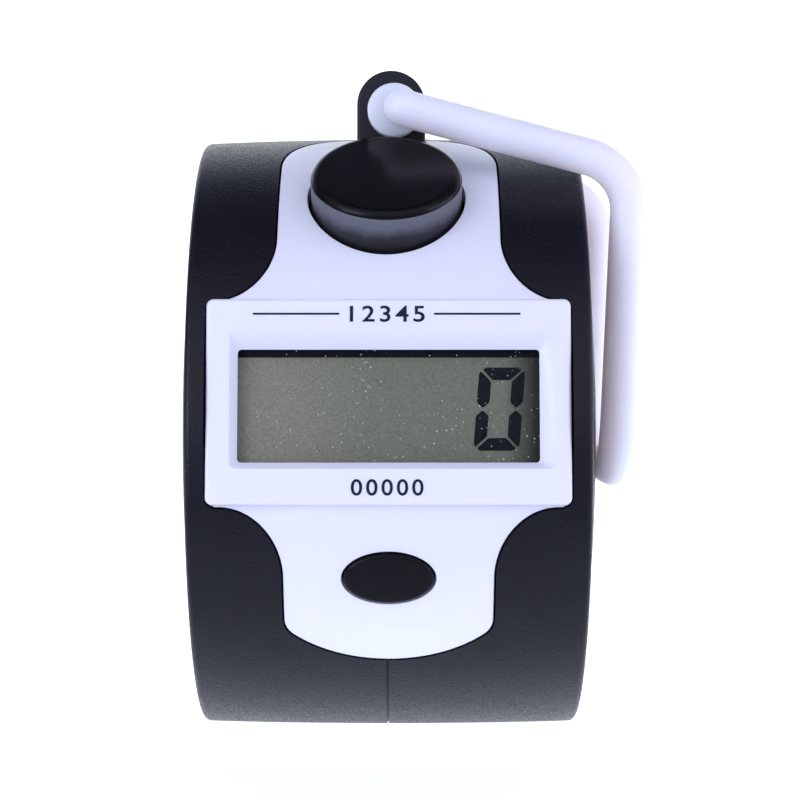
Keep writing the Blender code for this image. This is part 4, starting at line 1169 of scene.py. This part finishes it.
def make_battery_door():
    door = wrapped("door_skin", door_outline(), DRUM_RADIUS - DOOR_THICKNESS, DRUM_RADIUS, DOOR_RIM)
    screw_frame = BACK_FRAME @ Matrix.Translation((0, -SCREW_Z, SCREW_FACE))
    unite(door, cylinder("door_screw_seat", SEAT_RADIUS, -SEAT_DEPTH, SEAT_TOP, screw_frame, 48))
    carve(door,
          cylinder("screw_way", SCREW_WAY_RADIUS, -SCREW_CUT_REACH, SCREW_CUT_REACH, screw_frame, 48),
          cylinder("screw_head_room", HEAD_ROOM_RADIUS, -FINE_GAP, SCREW_CUT_REACH, screw_frame, 64))
    carve(door, *[grip_groove(step) for step in range(GRIP_COUNT)])
    finished(door, BLACK, CASE, ["battery_door"])
    make_door_screw(screw_frame)


def grip_groove(step):
    """The cutter of one shallow groove across the door, whose floor follows the drum's surface."""
    y = GRIP_START + step * GRIP_PITCH
    low = (-GRIP_HALF_LENGTH, y - GRIP_HALF_WIDTH, 0)
    high = (GRIP_HALF_LENGTH, y + GRIP_HALF_WIDTH, OUTSIDE)
    cutter = box(f"grip_{step}", low, high, BACK_FRAME)
    for vert in cutter.data.vertices:
        height = vert.co.z - AXIS_HEIGHT
        if vert.co.y < OUTSIDE / 2:
            floor = DRUM_RADIUS - crown_drop(vert.co.x) - GRIP_DEPTH
            vert.co.y = math.sqrt(floor ** 2 - height ** 2)
    return cutter


def make_door_screw(screw_frame):
    profile = [
        (0, -SCREW_LENGTH),
        (SCREW_TIP_RADIUS, -SCREW_LENGTH),
        (SCREW_SHANK_RADIUS, -SCREW_TAPER),
        (SCREW_SHANK_RADIUS, 0),
        (SCREW_HEAD_RADIUS, 0),
        (SCREW_HEAD_RADIUS, SCREW_HEAD_SIDE),
    ]
    head_edge = (SCREW_HEAD_RADIUS - SCREW_HEAD_ROUND, SCREW_HEAD_SIDE)
    profile += arc(head_edge, SCREW_HEAD_ROUND, SCREW_HEAD_TOP - SCREW_HEAD_SIDE, 0, 90, 6)
    profile.append((0, SCREW_HEAD_TOP))
    screw = revolved("door_screw", profile, screw_frame, 64)
    for x, y in ((SLOT_HALF_LENGTH, SLOT_HALF_WIDTH), (SLOT_HALF_WIDTH, SLOT_HALF_LENGTH)):
        carve(screw, box("slot", (-x, -y, SLOT_FLOOR), (x, y, SCREW_CUT_REACH), screw_frame))
    finished(screw, STEEL, CASE, ["battery_door_screw"])


# Finish of the pieces kept from the frame

def paint_kept_nodes():
    slots = {part["node"]: part["material_slot"] for part in frame["record"]["subparts"]}
    looks = {
        "inner_plastic": INNER,
        "steel": STEEL,
        "film": metal("silver_film_look", (0.6, 0.62, 0.6), 0.45),
        "elastomer": moulded_plastic("elastomer_look", (0.3, 0.3, 0.32), 0.7, grain=0.1),
        "rubber": moulded_plastic("rubber_look", (0.5, 0.5, 0.52), 0.8, grain=0.1),
        "carbon": moulded_plastic("carbon_look", (0.02, 0.02, 0.02), 0.85, grain=0.2),
        "board": moulded_plastic("board_look", (0.02, 0.16, 0.06), 0.35, grain=0.15, mottle=0.15),
        "epoxy": moulded_plastic("epoxy_look", (0.01, 0.01, 0.01), 0.3),
        "ceramic": moulded_plastic("ceramic_look", (0.45, 0.32, 0.2), 0.55, grain=0.1),
        "red_wire": moulded_plastic("red_wire_look", (0.5, 0.02, 0.02), 0.4),
        "black_wire": moulded_plastic("black_wire_look", (0.02, 0.02, 0.02), 0.4),
        "black_case": BLACK,
        "gloss_button": GLOSS,
        "white_plastic": WHITE,
        "clear_window": WINDOW,
        "lcd": LCD,
    }
    for name, obj in frame["nodes"].items():
        paint = looks[slots[name]]
        if not obj.material_slots:
            obj.data.materials.append(paint)
        for material_slot in obj.material_slots:
            material_slot.material = paint


# Stage, light and camera

def make_stage():
    """A pale floor that glows in front of the counter and behind it, as a photograph's white sweep does."""
    data = bmesh.new()
    bmesh.ops.create_grid(data, x_segments=1, y_segments=1, size=3.0)
    mesh = bpy.data.meshes.new("floor")
    data.to_mesh(mesh)
    data.free()
    floor = placed("floor", mesh)
    floor.location.z = -0.2 * MM
    made, nodes, shader, coords = new_material("pale_floor")
    cloud = noise_node(nodes, coords, 3, 2)
    tint = ramp_node(nodes, cloud, [(0.3, (0.72, 0.75, 0.84)), (0.7, (0.74, 0.77, 0.86))])
    place_y = split(nodes, coords)["Y"]
    near_glow = range_node(nodes, place_y, 0.0, 0.71, -50 * MM, -45 * MM)
    far_glow = range_node(nodes, place_y, 0.0, 0.7, -30 * MM, -12 * MM)
    connect(shader, {
        "Base Color": tint,
        "Emission Color": tint,
        "Emission Strength": math_node(nodes, "ADD", near_glow, far_glow),
        "Roughness": 0.7,
        "Specular IOR Level": 0.05,
    })
    mesh.materials.append(made)


def soft_box(name, place, width):
    """A cool area light that faces the middle of the counter."""
    light = bpy.data.lights.new(name, "AREA")
    light.shape = "RECTANGLE"
    light.size = width
    light.size_y = 0.20
    light.energy = 0.5
    light.color = (0.86, 0.88, 1.0)
    obj = placed(name, light)
    obj.location = place
    direction = Vector((0, 0, AXIS_HEIGHT)) - Vector(place)
    obj.rotation_euler = direction.to_track_quat("-Z", "Y").to_euler()


def make_light():
    """A white backdrop behind the counter, a softer front, a dark ceiling and a soft box at each side."""
    world = bpy.data.worlds.new("studio")
    bpy.context.scene.world = world
    world.use_nodes = True
    nodes = world.node_tree.nodes
    sky = split(nodes, nodes.new("ShaderNodeTexCoord").outputs["Generated"])
    behind = ramp_node(nodes, sky["Y"], [
        (0.0, (0.08, 0.085, 0.11)),
        (0.28, (0.11, 0.115, 0.15)),
        (0.46, (0.045, 0.048, 0.07)),
        (0.64, (0.50, 0.57, 0.80)),
        (0.76, (0.90, 0.95, 1.0)),
    ])
    front = ramp_node(nodes, sky["Z"], [
        (0.0, (0.68, 0.70, 0.87)),
        (0.72, (0.68, 0.70, 0.87)),
        (0.84, (0.32, 0.34, 0.45)),
        (0.95, (0.04, 0.042, 0.055)),
    ])
    side = range_node(nodes, sky["Y"], 0.0, 1.0, -0.5, 0.1)
    connect(nodes["Background"], {"Color": mix_node(nodes, side, front, behind), "Strength": 1.7})
    soft_box("key_right", (0.30, -0.03, 0.05), 0.36)
    soft_box("fill_left", (-0.24, -0.25, 0.05), 0.20)


def make_camera():
    """Level, in front of the drum, a little right of its middle and a little above its axis."""
    camera = bpy.data.cameras.new("camera")
    camera.sensor_width = 36
    camera.lens = FOCAL_LENGTH
    camera.clip_start = 0.01
    camera.clip_end = 20
    obj = placed("camera", camera)
    obj.location = (CAMERA_X, -CAMERA_DISTANCE, AXIS_HEIGHT + CAMERA_RISE)
    obj.rotation_euler = (math.radians(90), 0, 0)
    bpy.context.scene.camera = obj
    bpy.context.scene.view_settings.view_transform = "Standard"


make_camera()
make_light()
make_stage()
make_shells()
make_side_covers()
make_lug()
make_finger_ring()
make_face_plate()
make_display()
make_print()
make_count_button()
make_reset_button()
make_battery_door()
paint_kept_nodes()
